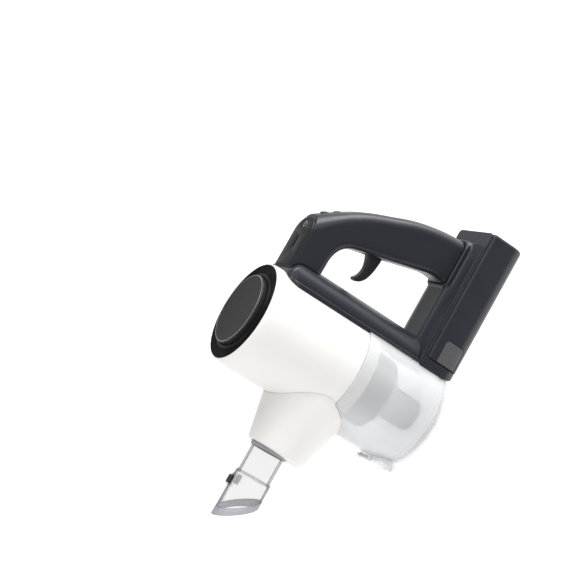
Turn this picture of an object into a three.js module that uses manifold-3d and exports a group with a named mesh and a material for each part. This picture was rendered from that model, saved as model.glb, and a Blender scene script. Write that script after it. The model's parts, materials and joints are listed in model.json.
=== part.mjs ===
// Cordless handheld vacuum, in millimetres, +Z up.
// It stands on the bin lid's foot ring and on the back of the battery. The suction axis of the barrel is +Z, with the exhaust on top.
// The suction tube points along -Y, and the handle loop and the battery column stand on the +Y side.
// The barrel's axis is the line x = 0, y = 0 of the inner group, which is moved along Y so that the origin is under the middle of the whole part.
import * as THREE from "three";
import { mergeVertices } from "three/addons/utils/BufferGeometryUtils.js";
import Module from "manifold-3d";

const wasm = await Module();
wasm.setup();

// ---------------------------------------------------------------- driving dimensions
const GAP = 0.35; // clearance between neighbouring pieces
const R_BODY = 53.3; // motor housing, outside radius
const R_BIN = 55.0; // dust bin, outside radius
const Z_SPLIT = 105; // housing above, bin below
const Z_TOP = 216.8; // rim of the housing
const R_CAP = 50.4; // exhaust cover, outside radius
const R_DISC = 36.5; // raised disc in the middle of the exhaust cover
const Z_DISC = 221.8; // top of the raised disc
const Z_RIM = 11.3; // joint between bin and lid
const Z_LID = 3; // underside of the lid, above its foot ring
const NOZZLE_Z = 122.5; // height of the suction tube's axis
const Y_TIP = -180; // tip of the suction tube
const TUBE_R = 17.1; // inner suction tube, outside radius
const SLEEVE_R = 18.6; // outer sleeve of the suction tube
const POST_W = 19.2; // half-width of the handle arch
const Z_POST = 203.0; // front of the handle arch, under the panel
const PANEL_T = 2.0; // panel thickness
const RAIL_W = 33; // half-width of the rail's skirt
const RAIL_TOP = 69.7; // crest of the rail
const DOCK_Z = 52; // front of the battery dock's post
const COL_Z = 43; // front of the battery column
const COL_W = 34.5; // half-width of the battery column
const COL_Y0 = 54; // lower end of the battery
const COL_Y1 = 192; // upper end of the battery
const Y_SHIFT = -(COL_Y1 + Y_TIP) / 2;

// ---------------------------------------------------------------- materials
const mat = (color, roughness, metalness = 0, opacity = 1) =>
  new THREE.MeshStandardMaterial({ color, roughness, metalness, opacity, transparent: opacity < 1 });
const M = {
  white: mat(0xeae6e1, 0.38), charcoal: mat(0x44464d, 0.42), dark: mat(0x26262a, 0.5), panel: mat(0x2b2e31, 0.15),
  disc: mat(0x3f3f40, 0.35), button: mat(0x66666a, 0.5), clear: mat(0xe9eaec, 0.08, 0, 0.3), frost: mat(0xcfcfd4, 0.35),
  grey: mat(0xa4a4aa, 0.45), lip: mat(0xb4b3bd, 0.5), rubber: mat(0x1c1c1d, 0.8), steel: mat(0xa9adb2, 0.3, 1),
  brass: mat(0xc9a24a, 0.35, 1), board: mat(0x1f5b3a, 0.5), foam: mat(0x3b3f46, 0.95), paper: mat(0xe8e6dd, 0.9),
  cell: mat(0x2d5f9a, 0.4), copper: mat(0x9a5a34, 0.4, 1), lamp: mat(0xdfe6ea, 0.3),
};

// ---------------------------------------------------------------- helpers
const V2 = (x, y) => new THREE.Vector2(x, y);
const V3 = (x, y, z) => new THREE.Vector3(x, y, z);
const T = (x, y, z, rx = 0, ry = 0, rz = 0) =>
  new THREE.Matrix4().compose(V3(x, y, z), new THREE.Quaternion().setFromEuler(new THREE.Euler(rx, ry, rz)), V3(1, 1, 1));

// A closed three.js geometry as a solid, facing out.
function solid(geometry, ...matrices) {
  const g = geometry.index ? geometry.toNonIndexed() : geometry.clone();
  let only = new THREE.BufferGeometry().setAttribute("position", g.getAttribute("position"));
  for (const m of matrices) only.applyMatrix4(m);
  only = mergeVertices(only, 1e-4);
  const tri = new Uint32Array(only.index.array);
  const build = () => new wasm.Manifold(new wasm.Mesh({ numProp: 3, vertProperties: only.attributes.position.array, triVerts: tri }));
  let s = build();
  if (s.volume() < 0) {
    for (let i = 0; i < tri.length; i += 3) [tri[i + 1], tri[i + 2]] = [tri[i + 2], tri[i + 1]];
    s = build();
  }
  return s;
}
// The largest body of a solid, which drops slivers left by a cut.
const main = (s) => s.decompose().sort((a, b) => b.volume() - a.volume())[0];
function mesh(name, s, material) {
  const m = main(s).getMesh(), n = m.numProp, v = new Float32Array(m.numVert * 3);
  for (let i = 0; i < m.numVert; i++) v.set(m.vertProperties.subarray(i * n, i * n + 3), i * 3);
  const g = new THREE.BufferGeometry().setAttribute("position", new THREE.BufferAttribute(v, 3)).setIndex(new THREE.BufferAttribute(m.triVerts, 1));
  g.computeVertexNormals();
  const made = new THREE.Mesh(g, material.clone());
  made.name = name;
  return made;
}
// A profile of [radius, height] points turned about the Z axis. It closes on itself, or starts and ends on the axis.
function turn(points, segments = 36) {
  const p = points.map(([r, z]) => V2(Math.max(r, 0), z));
  if (p[0].x > 0 || p[p.length - 1].x > 0) p.push(p[0].clone());
  return solid(new THREE.LatheGeometry(p, segments), T(0, 0, 0, Math.PI / 2));
}
const ring = (r0, r1, z0, z1, segments = 36) => turn([[r0, z0], [r1, z0], [r1, z1], [r0, z1]], segments);
const rod = (r, z0, z1, segments = 24) => solid(new THREE.CylinderGeometry(r, r, z1 - z0, segments), T(0, 0, (z0 + z1) / 2, Math.PI / 2));
const box = (x0, x1, y0, y1, z0, z1) => solid(new THREE.BoxGeometry(x1 - x0, y1 - y0, z1 - z0), T((x0 + x1) / 2, (y0 + y1) / 2, (z0 + z1) / 2));
const rodX = (r, x0, x1, y, z, segments = 20) => solid(new THREE.CylinderGeometry(r, r, x1 - x0, segments), T((x0 + x1) / 2, y, z, 0, 0, Math.PI / 2));
const rodY = (r, y0, y1, x, z, segments = 32) => solid(new THREE.CylinderGeometry(r, r, y1 - y0, segments), T(x, (y0 + y1) / 2, z));
const shapeOf = (points) => new THREE.Shape(points.map(([a, b]) => V2(a, b)));
// An outline in the YZ plane, pushed along X from x0 to x1.
const alongX = (points, x0, x1) => solid(new THREE.ExtrudeGeometry(shapeOf(points), { depth: x1 - x0, bevelEnabled: false }),
  new THREE.Matrix4().set(0, 0, 1, x0, 1, 0, 0, 0, 0, 1, 0, 0, 0, 0, 0, 1));
// An outline in the XZ plane, pushed along Y from y0 to y1.
const alongY = (shape, y0, y1, bevel = 0) => solid(new THREE.ExtrudeGeometry(shape, {
  depth: y1 - y0 - 2 * bevel, bevelEnabled: bevel > 0, bevelSize: bevel, bevelOffset: -bevel, bevelThickness: bevel, bevelSegments: 2, curveSegments: 8 }),
  new THREE.Matrix4().set(1, 0, 0, 0, 0, 0, 1, y0 + bevel, 0, 1, 0, 0, 0, 0, 0, 1));
// An outline in the XY plane, pushed along Z from z0 to z1.
const alongZ = (shape, z0, z1, curve = 10) => solid(new THREE.ExtrudeGeometry(shape, { depth: z1 - z0, bevelEnabled: false, curveSegments: curve }), T(0, 0, z0));
// A profile of [radius, distance] points turned about the suction tube's axis, which runs along -Y at height z.
const turnY = (points, z = NOZZLE_Z, segments = 32) => turn(points, segments).transform(matrixArray(T(0, 0, z, Math.PI / 2)));
const matrixArray = (m) => Array.from(m.elements);
const union = (...s) => s.reduce((a, b) => a.add(b));
const cut = (a, ...s) => s.reduce((x, y) => x.subtract(y), a);
// Points of a smooth open curve through the given ones.
const smooth = (points, n) => new THREE.CatmullRomCurve3(points.map(([a, b]) => V3(a, b, 0)), false, "centripetal").getPoints(n).map((p) => [p.x, p.y]);
// A closed outline moved inwards by d.
function inset(points, d) {
  const n = points.length, area = points.reduce((s, p, i) => s + p[0] * points[(i + 1) % n][1] - points[(i + 1) % n][0] * p[1], 0), sign = Math.sign(area);
  return points.map((p, i) => {
    const a = points[(i + n - 1) % n], b = points[(i + 1) % n];
    let e1 = V2(p[0] - a[0], p[1] - a[1]).normalize(), e2 = V2(b[0] - p[0], b[1] - p[1]).normalize();
    const n1 = V2(-e1.y, e1.x).multiplyScalar(sign), n2 = V2(-e2.y, e2.x).multiplyScalar(sign), m = n1.clone().add(n2);
    const k = d / Math.max(0.35, 1 + n1.dot(n2));
    return [p[0] + m.x * k, p[1] + m.y * k];
  });
}
function roundedRect(x0, x1, y0, y1, r) {
  // r = [bottom left, bottom right, top right, top left]
  const s = new THREE.Shape(), q = Math.PI / 2;
  s.moveTo(x0 + r[0], y0);
  s.lineTo(x1 - r[1], y0); if (r[1]) s.absarc(x1 - r[1], y0 + r[1], r[1], -q, 0, false);
  s.lineTo(x1, y1 - r[2]); if (r[2]) s.absarc(x1 - r[2], y1 - r[2], r[2], 0, q, false);
  s.lineTo(x0 + r[3], y1); if (r[3]) s.absarc(x0 + r[3], y1 - r[3], r[3], q, 2 * q, false);
  s.lineTo(x0, y0 + r[0]); if (r[0]) s.absarc(x0 + r[0], y0 + r[0], r[0], 2 * q, 3 * q, false);
  return s;
}

const nodes = [];
const add = (name, s, material) => nodes.push(mesh(name, s, material));

// ---------------------------------------------------------------- barrel: housing, neck
// The inlet passage runs from the tube's socket down and back into the bin.
const ductPath = new THREE.CatmullRomCurve3([V3(0, -63, NOZZLE_Z), V3(0, -58, 119), V3(0, -52, 104), V3(0, -47.5, 93.5), V3(0, -40, 88)], false, "centripetal");
const duct = (r, n = 20) => {
  const s = new THREE.Shape().absarc(0, 0, r, 0, 2 * Math.PI, false);
  return solid(new THREE.ExtrudeGeometry(s, { steps: 8, curveSegments: n / 2, bevelEnabled: false, extrudePath: ductPath }));
};
const BORE = 14.6;
const spigotOuter = duct(BORE + 2), spigotGap = duct(BORE + 2 + GAP);
const coneTilt = Math.atan2(2.9, 60); // the neck leans a little towards the exhaust
const cone = (grow) => turn([[0, 0], [44.2 + grow, 0], [43.4 + grow, 14], [40.4 + grow, 26], [30.6 + grow, 66], [29.6 + grow, 69.6], [28.2 + grow, 71.4 + grow], [0, 71.4 + grow]], 36)
  .transform(matrixArray(T(0, -28.6, 113.2, Math.PI / 2 + coneTilt)));
const barrelGap = union(ring(0.01, R_BODY + GAP, Z_SPLIT - 0.4, 230), ring(0.01, R_BIN + 0.45, -5, Z_SPLIT));
{
  const shell = turn([[50, 90], [52.2, 90], [52.2, 104.7], [R_BODY, Z_SPLIT + 0.2], [R_BODY, 205], [53.0, 210], [52.3, 213.6], [51.4, 215.8], [50.75, 216.3], [50.75, 108], [50, 105]], 48);
  const hole = cut(spigotGap, box(-60, 60, -30, 60, 0, 300));
  add("motor_housing", cut(shell, hole, box(-16.4, 16.4, -60, -40, 80, 104)), M.white);
}
{
  const socket = rodY(TUBE_R + 0.4, -120, -60.5, 0, NOZZLE_Z, 28);
  const outer = cut(cone(0), barrelGap);
  const inner = cut(cone(-2.6), rodY(19.9, -130, -58, 0, NOZZLE_Z, 28), box(-60, 60, -140, -97.4, 0, 250), duct(BORE + 2), union(ring(0.01, R_BODY + 2.4, 60, 230)));
  const neck = cut(union(cut(outer, inner), spigotOuter), socket, rodY(19.4, -120, -98.2, 0, NOZZLE_Z, 32), duct(BORE), ring(0.01, 50.85, 0, 300, 48));
  add("neck_inlet", neck, M.white);
}

// ---------------------------------------------------------------- exhaust cover and filter
{
  let s = union(ring(48.6, R_CAP, 206.5, Z_TOP - 0.2, 48), turn([[0, 206.5], [38.8, 206.5], [38.8, Z_TOP - 0.6], [37.1, Z_TOP - 0.6], [37.1, 213.6], [0, 213.6]], 36));
  for (const r of [41.4, 45.0]) s = s.add(ring(r, r + 1.2, 209, Z_TOP - 0.6, 36));
  for (let i = 0; i < 6; i++) s = s.add(box(37.5, 49.5, -0.8, 0.8, 207, 209.5).transform(matrixArray(T(0, 0, 0, 0, 0, (i + 0.5) * Math.PI / 3))));
  add("exhaust_cover", s, M.dark);
  add("cover_disc", turn([[0, 214], [34.6, 214], [36.3, 216], [R_DISC, 220.8], [35.6, Z_DISC], [0, Z_DISC]], 48), M.disc);
  const star = new THREE.Shape();
  const pleats = 36;
  for (let i = 0; i < 2 * pleats; i++) {
    const a = (i * Math.PI) / pleats, r = i % 2 ? 40 : 46.5;
    i ? star.lineTo(r * Math.cos(a), r * Math.sin(a)) : star.moveTo(r, 0);
  }
  star.holes.push(new THREE.Path().absarc(0, 0, 30, 0, 2 * Math.PI, true));
  add("exhaust_filter", alongZ(star, 186, 206, 12), M.paper);
}

// ---------------------------------------------------------------- motor and fan
add("fan_housing", turn([[14, 116], [50.3, 116], [50.3, 119], [36, 119], [36, 139], [8, 139], [8, 136], [33, 136], [33, 119], [14, 119]], 36), M.dark);
{
  const s = new THREE.Shape().absarc(0, 0, 50.3, 0, 2 * Math.PI, false);
  s.holes.push(new THREE.Path().absarc(0, 0, 31.0, 0, 2 * Math.PI, true));
  for (let i = 0; i < 6; i++) s.holes.push(new THREE.Path().absarc(40.4 * Math.cos(i * Math.PI / 3), 40.4 * Math.sin(i * Math.PI / 3), 6.5, 0, 2 * Math.PI, true));
  add("motor_mount", alongZ(s, 158, 166, 9), M.rubber);
}
add("motor_stator", turn([[20, 141], [30, 141], [30, 180], [8, 180], [8, 176], [20, 176]], 28), M.steel);
add("bearing_upper", ring(3.2, 7.7, 176.2, 180, 18), M.steel);
add("bearing_lower", ring(3.2, 7.7, 136.1, 139, 18), M.steel);
add("rotor_shaft", rod(3.0, 118, 184, 20), M.steel);
add("rotor_core", ring(3.35, 18.8, 144, 172, 24), M.copper);
{
  let s = union(ring(3.35, 9, 121.5, 132.5, 24), ring(8.5, 31, 130.8, 132.5, 28));
  for (let i = 0; i < 9; i++) s = s.add(box(8, 30, -0.7, 0.7, 123, 131).transform(matrixArray(T(0, 0, 0, 0, 0, (i * 2 * Math.PI) / 9).multiply(T(0, 3, 0)))));
  add("impeller", s, M.grey);
}
add("pre_filter", turn([[0, 107], [47.5, 107], [48.5, 108], [48.5, 113.5], [47.5, 114.5], [0, 114.5]], 28), M.foam);

// ---------------------------------------------------------------- rail on the barrel
const ellipse = (a, b, y0, n = 20) => Array.from({ length: n + 1 }, (_, i) => [a * Math.cos((i * Math.PI) / n), y0 + b * Math.sin((i * Math.PI) / n)]);
function rail(grow) {
  const section = [[-RAIL_W - grow, 30], [RAIL_W + grow, 30], [RAIL_W + grow, 47.2 + grow * 0.5], ...ellipse(31.2 + grow, RAIL_TOP - 47 + grow, 47)];
  section.push([-RAIL_W - grow, 47.2 + grow * 0.5]);
  const body = alongZ(shapeOf(section), 38, 206.2 + grow);
  const side = alongX([[20, 30], [80, 30], [80, 178], ...smooth([[RAIL_TOP + grow, 180], [67.6 + grow, 192], [62 + grow, 200], [55 + grow, 204.6 + grow], [48, 206.2 + grow]], 10), [20, 206.2 + grow]], -40, 40);
  const plan = alongY(roundedRect(-RAIL_W - grow, RAIL_W + grow, 36, 206.2 + grow, [0, 0, 15, 15]), 20, 90);
  return body.intersect(side).intersect(plan);
}
// ---------------------------------------------------------------- battery dock: post behind the loop, and the foot that the battery stands on
function dock(grow) {
  const g = grow;
  const section = new THREE.Shape([[-RAIL_W - 0.6 - g, COL_Z + 0.4 - g], [RAIL_W + 0.6 + g, COL_Z + 0.4 - g], [RAIL_W + 0.2 + g, 44.6 + g], [24 + g, 48.2 + g], [17.4 + g, 51.2 + g], [14.6 + g, DOCK_Z + g], [-14.6 - g, DOCK_Z + g], [-17.4 - g, 51.2 + g], [-24 - g, 48.2 + g], [-RAIL_W - 0.2 - g, 44.6 + g]].map(([x, z]) => V2(x, z)));
  const post = alongY(section, 40, 176);
  const side = alongX([[30, 0], [165, 0], [173, 43], [176, 46], [174, 49.5], [172, DOCK_Z + g], [30, DOCK_Z + g]], -40, 40);
  const foot = box(-COL_W + 0.4 - g, COL_W - 0.4 + g, 38, COL_Y0 - 0.4, 0, COL_Z + 1);
  const saddle = ring(R_BIN + 0.6 - g, 59.6, 0, COL_Z + 1, 48).intersect(box(-30, 30, 40, 62, -1, 60));
  return cut(union(post.intersect(side), foot, saddle), ring(0.01, R_BIN + 0.6 - g, -2, 80, 48));
}
{
  const recess = box(-17, 17, 40, 61, -1, 16.5);
  add("battery_dock", cut(dock(0), recess), M.charcoal);
  const hollow = alongZ(shapeOf([[-27.5, 30], [27.5, 30], [27.5, 46], ...ellipse(27.5, 19.4, 46, 16), [-27.5, 46]]), 60, 176);
  add("rail", cut(rail(0), barrelGap, dock(0.4), hollow), M.charcoal);
  add("control_board", box(-12, 12, 57.5, 59.1, 92, 168), M.board);
}

// ---------------------------------------------------------------- handle arch, split into two shells
const topLine = smooth([[56.2, Z_POST], [80, Z_POST], [103, Z_POST]], 2).concat(smooth([[104, Z_POST], [110, 202.3], [115.5, 199.5], [124.6, 189], [142, 160.8], [154, 132.4], [162.2, 111.1], [167.9, 88.9], [172, 66], [173.2, 52.6]], 16));
const underLine = smooth([[123.5, 52.6], [126.8, 60], [126.5, 70], [122, 88], [113.5, 120], [106.5, 149], [102.5, 159.5], [95.5, 166.8], [86, 170.2], [76, 170.8]], 13).concat([[46, 170.8]]);
const arch = [...topLine, ...underLine, [46, Z_POST]];
const archIn = inset(arch, 2.7);
function roundedArch(w) {
  // The arch with its long edges rounded: steps of the inset outline, each narrower in x.
  let s = alongX(arch, -w + 6.4, w - 6.4);
  for (const [d, k] of [[0.5, 4.2], [1.6, 2.0], [3.4, 0.6], [4.6, 0]]) s = s.add(alongX(inset(arch, d), -w + k, w - k));
  return s;
}
const slotBox = box(-5.7, 5.7, 96, 121, 113, 139.5);
const nTop = V3(0, 28.2, 17.4).normalize(); // outward normal of the handle's upper face
const buttonAt = [[121.2, 194.2], [128.4, 182.8]];
const onTop = (r, lo, hi, y, z, n = 20) => solid(new THREE.CylinderGeometry(r, r, hi - lo, n), T(0, (lo + hi) / 2, 0),
  new THREE.Matrix4().makeRotationFromQuaternion(new THREE.Quaternion().setFromUnitVectors(V3(0, 1, 0), nTop)), T(0, y, z));
const screwAt = [[84, 187], [136, 130], [146, 72]];
{
  const cavity = alongX(archIn, -POST_W + 2.8, POST_W - 2.8);
  let full = cut(roundedArch(POST_W), cavity, rail(0.4), barrelGap, slotBox, rod(5.6, 195, 210, 18).transform(matrixArray(T(0, 102.5, 0))),
    ...buttonAt.map(([y, z]) => onTop(4.1, -8, 6, y, z)));
  const right = cut(full, box(-40, 0.16, 0, 260, 0, 260));
  const left = cut(full, box(-0.16, 40, 0, 260, 0, 260), ...screwAt.map(([y, z]) => rodX(3.1, -30, -14, y, z)));
  add("handle_shell_right", right, M.charcoal);
  add("handle_shell_left", left, M.charcoal);
  screwAt.forEach(([y, z], i) => add("handle_screw_" + (i + 1), union(rodX(2.7, -18.6, -16.2, y, z, 16), rodX(1.4, -16.4, -6, y, z, 12)), M.steel));
}
// panel on the front of the arch, with a rounded top
{
  const w = POST_W - 0.4, s = new THREE.Shape();
  s.moveTo(-w, 57.4); s.lineTo(w, 57.4); s.lineTo(w, 95.5); s.absellipse(0, 95.5, w, 15.6, 0, Math.PI, false); s.lineTo(-w, 57.4);
  s.holes.push(new THREE.Path().absarc(0, 102.5, 5.6, 0, 2 * Math.PI, true));
  const slot = new THREE.Path(); slot.absarc(0, 88, 2, 0, Math.PI, false); slot.absarc(0, 78.5, 2, Math.PI, 2 * Math.PI, false); s.holes.push(slot);
  add("display_panel", alongZ(s, Z_POST + GAP, Z_POST + GAP + PANEL_T, 8), M.panel);
  const lamp = new THREE.Shape(); lamp.absarc(0, 88, 1.65, 0, Math.PI, false); lamp.absarc(0, 78.5, 1.65, Math.PI, 2 * Math.PI, false);
  add("indicator_window", alongZ(lamp, Z_POST + GAP, Z_POST + GAP + PANEL_T - 0.3, 6), M.lamp);
  add("power_button", rod(5.2, 200.2, Z_POST + GAP + PANEL_T + 0.4, 18).transform(matrixArray(T(0, 102.5, 0))), M.panel);
}
buttonAt.forEach(([y, z], i) => add("mode_button_" + (i + 1), onTop(3.7, -4, 1.5, y, z), M.charcoal));

// ---------------------------------------------------------------- trigger
const TRIG = [119, 128];
{
  const front = smooth([[121, 136], [113, 135.4], [104, 131.6], [96, 130.2], [88, 132.6], [83.4, 136]], 10);
  const back = smooth([[81.8, 133.6], [83.4, 128.4], [88, 124], [95, 121], [104, 119.3], [113, 118.6]], 8);
  add("trigger", cut(alongX([...front, ...back, [121, 120], [124.5, 124], [124.8, 131]], -5, 5), rodX(2.15, -6, 6, ...TRIG, 20)), M.dark);
  add("trigger_pin", rodX(1.8, -15.6, 15.6, ...TRIG, 16), M.steel);
  add("trigger_spring", ring(1.2, 2.4, 0, 5.2, 16).transform(matrixArray(T(0, 121.5, 114.2))), M.steel);
  add("trigger_switch", box(-5, 5, 122.4, 132, 103.5, 113.6), M.dark);
}

// ---------------------------------------------------------------- battery
const colShape = (g = 0) => roundedRect(-COL_W + g, COL_W - g, g, COL_Z - 2.7, [13.5 - g, 13.5 - g, 3, 3]);
{
  const envelope = alongY(colShape(), COL_Y0, COL_Y1, 1.8);
  const inside = alongY(roundedRect(-COL_W + 1.9, COL_W - 1.9, 1.8, COL_Z + 4, [11.6, 11.6, 0, 0]), COL_Y0 + 9, COL_Y1 - 2.2);
  const arc = rod(60.1, -3, COL_Z + 6, 48);
  const btn = (g) => alongX([[55.2 - g, 7.2 - g], [77 + g, 7.2 - g], [77.6 + g, 8.6], [78.2 + g, 11], [78.2 + g, 26.4], [77 + g, 28.6 + g], [75 + g, 29.8 + g], [55.2 - g, 29.8 + g]], 26, 40);
  const mirror = (s) => s.mirror([1, 0, 0]);
  const contactHole = box(-6.9, 6.9, 50, 67, 25, 33);
  add("battery_case", cut(envelope, inside, arc, btn(0.35), mirror(btn(0.35)), contactHole), M.charcoal);
  const right = btn(0).intersect(envelope).intersect(box(31.2, 40, 50, 90, 0, 40));
  add("release_button_right", right, M.button);
  add("release_button_left", mirror(right), M.button);
  add("battery_front_plate", cut(alongY(roundedRect(-COL_W + 1, COL_W - 1, COL_Z - 2.35, COL_Z, [0, 0, 1, 1]), COL_Y0, COL_Y1 - 0.6), arc, contactHole), M.charcoal);
  [[-10, 11.4], [10, 11.4], [-10, 30], [10, 30]].forEach(([x, z], i) => add("battery_cell_" + (i + 1), rodY(9.1, 84, 149, x, z, 18), M.cell));
  add("battery_contacts", box(-6, 6, 67.4, 72, 26, 32), M.brass);
  add("dock_contacts", box(-6, 6, 60.0, 65.6, 26.4, 31.6), M.brass);
  add("release_spring", rodX(2.6, -29.6, 29.6, 67, 18, 14), M.steel);
}

// ---------------------------------------------------------------- dust bin, lid, latch
const HINGE = [54.3, 3.5];
const LATCH = [-57.6, 31];
{
  const wall = turn([[52.8, Z_RIM], [54.6, Z_RIM], [R_BIN, Z_RIM + 0.8], [R_BIN, 104.4], [54.7, 104.7], [52.8, 104.7]], 48);
  const lug = (x0, x1) => cut(union(rodX(2.8, x0, x1, ...HINGE, 16), box(x0, x1, 52.4, 57.1, HINGE[1], 15)), rodX(1.7, x0 - 1, x1 + 1, ...HINGE, 16));
  const ear = (x0, x1) => cut(box(x0, x1, -60, -54, 28.2, 33.8), rodX(1.4, x0 - 1, x1 + 1, ...LATCH, 14));
  const lidSpace = ring(0.01, 52.8, -5, 120, 48);
  const inletNotch = cut(spigotGap.add(box(-17, 17, -60, -40, 92, 106)), box(-60, 60, -30, 60, 0, 300));
  const lidCut = ring(0.01, 53.6, -5, Z_RIM, 48);
  add("dust_bin", union(cut(wall, inletNotch), cut(union(lug(8, 15), lug(-15, -8)), lidCut), cut(union(ear(8.5, 11.5), ear(-11.5, -8.5)), lidSpace)), M.clear);
  add("lid_hinge_pin", rodX(1.5, -14.6, 14.6, ...HINGE, 16), M.steel);
  add("latch_pin", rodX(1.2, -11.2, 11.2, ...LATCH, 12), M.steel);
}
{
  const plate = turn([[0, Z_LID], [50.3, Z_LID], [52.2, 4.2], [53.2, 6.4], [53.2, Z_RIM - 0.4], [49.6, Z_RIM - 0.4], [49.6, 6], [0, 6]], 48);
  const foot = ring(33, 37, 0, 3.2, 36);
  const knuckle = cut(union(rodX(2.8, -7.6, 7.6, ...HINGE, 16), box(-7.6, 7.6, 50, 54.3, HINGE[1] - 0.5, HINGE[1] + 2.8)), rodX(1.7, -9, 9, ...HINGE, 16));
  const room = union(box(7.6, 15.4, 51, 60, -1, 20), box(-15.4, -7.6, 51, 60, -1, 20), box(-7.8, 7.8, 50.9, 60, 6.6, 20));
  add("bin_lid", union(cut(plate, room), foot, knuckle), M.clear);
  add("lid_seal", turn([[48.2, 6.4], [49.25, 6.4], [49.25, 13.4], [48.2, 13.4]], 36), M.grey);
}
{
  const arcRing = ring(R_BIN + 0.9, 59.2, 3.6, 28, 60);
  const wide = arcRing.intersect(alongY(roundedRect(-24, 24, 3.6, 28, [6, 6, 9, 9]), -70, -20));
  const tab = cut(box(-8, 8, -59.4, -56.2, 26, 31), ring(0.01, R_BIN + 0.9, 0, 60, 48));
  const knuckle = cut(union(tab, rodX(2.4, -8, 8, ...LATCH, 16)), rodX(1.4, -9, 9, ...LATCH, 14), ring(0.01, R_BIN + 0.25, 0, 60, 48));
  const nib = box(-9, 9, -58.6, -50.6, 0.9, 2.6).add(box(-9, 9, -58.6, -56.2, 0.9, 6));
  add("lid_latch", union(wide, knuckle, nib), M.clear);
}

// ---------------------------------------------------------------- cyclone in the bin
add("cyclone_body", cut(turn([[20, 92.5], [24, 90.5], [44, 90.5], [49.4, 93], [49.4, 103.6], [46, 103.6], [46, 96], [24, 96], [20, 98]], 36), duct(BORE + 0.6)), M.frost);
add("mesh_shroud", turn([[35.4, 56], [37, 56], [37, 90], [24.6, 90], [24.6, 88.4], [35.4, 88.4]], 28), M.grey);
add("dust_cone", turn([[14.9, 14], [16.5, 14], [16.5, 44], [22, 50], [37, 50.5], [37, 55.6], [33, 55.6], [33, 52.6], [21, 52.4], [14.9, 45.4]], 28), M.frost);

// ---------------------------------------------------------------- suction tube
// Cuts everything beyond the slanted mouth, moved back by d.
const mouthLine = (d, z) => -166.4 + d - (z - NOZZLE_Z) * 0.70;
const beyond = (d) => alongX([[-300, NOZZLE_Z - 50], [mouthLine(d, NOZZLE_Z - 50), NOZZLE_Z - 50], [mouthLine(d, NOZZLE_Z + 50), NOZZLE_Z + 50], [-300, NOZZLE_Z + 50]], -40, 40);
add("nozzle_tube", turnY([[TUBE_R - 1.6, 61], [TUBE_R, 61], [TUBE_R, 135], [TUBE_R - 1.6, 135]]), M.clear);
add("nozzle_seal", turnY([[TUBE_R + 0.35, 98.6], [18.9, 98.6], [18.9, 102.0], [18.3, 102.4], [TUBE_R + 0.35, 102.4]]), M.grey);
{
  const sleeve = turnY([[SLEEVE_R - 1.1, 129.5], [SLEEVE_R + 0.7, 129.5], [SLEEVE_R + 0.7, 132.4], [SLEEVE_R, 133], [SLEEVE_R, 190], [SLEEVE_R - 1.1, 190]]);
  const guide = cut(box(-6.2, 6.2, -148, -136, NOZZLE_Z + 16, NOZZLE_Z + 20.6), rodY(SLEEVE_R - 0.3, -160, -120, 0, NOZZLE_Z, 28), box(-4.9, 4.9, -146.8, -137.2, NOZZLE_Z + 18.9, NOZZLE_Z + 30));
  add("nozzle_sleeve", union(cut(sleeve, beyond(6.0)), guide), M.clear);
  const lip = turnY([[SLEEVE_R - 1.2, 140], [SLEEVE_R + 0.3, 140], [SLEEVE_R + 0.3, 200], [SLEEVE_R - 1.2, 200]]);
  add("nozzle_lip", lip.subtract(beyond(0)).intersect(beyond(5.6)), M.lip);
  add("nozzle_button", box(-4.5, 4.5, -146.4, -137.6, NOZZLE_Z + 20.1, NOZZLE_Z + 24.6), M.dark);
}

const group = new THREE.Group();
group.name = "handheld_vacuum";
const inner = new THREE.Group();
inner.position.set(0, Y_SHIFT, 0);
for (const m of nodes) inner.add(m);
group.add(inner);
export default group;
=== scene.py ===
import json
import math

import bpy
import numpy as np
from mathutils import Matrix, Vector
from mathutils.geometry import tessellate_polygon


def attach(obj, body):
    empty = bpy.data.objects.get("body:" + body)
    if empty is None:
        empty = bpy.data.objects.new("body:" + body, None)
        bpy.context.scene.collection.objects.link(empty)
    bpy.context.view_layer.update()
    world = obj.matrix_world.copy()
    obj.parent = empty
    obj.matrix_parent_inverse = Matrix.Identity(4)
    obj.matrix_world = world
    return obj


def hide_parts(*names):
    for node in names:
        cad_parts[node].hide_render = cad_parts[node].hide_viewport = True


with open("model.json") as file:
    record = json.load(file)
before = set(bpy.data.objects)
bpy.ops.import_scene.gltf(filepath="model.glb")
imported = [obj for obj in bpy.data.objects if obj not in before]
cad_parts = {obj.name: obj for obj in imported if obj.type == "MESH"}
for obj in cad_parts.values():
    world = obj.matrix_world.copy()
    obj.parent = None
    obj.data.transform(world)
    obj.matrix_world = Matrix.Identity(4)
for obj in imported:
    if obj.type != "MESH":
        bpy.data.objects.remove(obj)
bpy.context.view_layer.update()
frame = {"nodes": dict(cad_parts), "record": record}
VOX = 0.8  # size of a cell in the modelled shells, mm
SHIFT = -6.0  # the drafting frame has the barrel's axis at y = 0; the row frame has it at -6 mm
rng = np.random.default_rng(7)

# ------------------------------------------------------------------ materials


def new_material(name):
    m = bpy.data.materials.new(name)
    m.use_nodes = True
    t = m.node_tree
    return m, t.nodes, t.links, t.nodes["Principled BSDF"]


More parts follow.
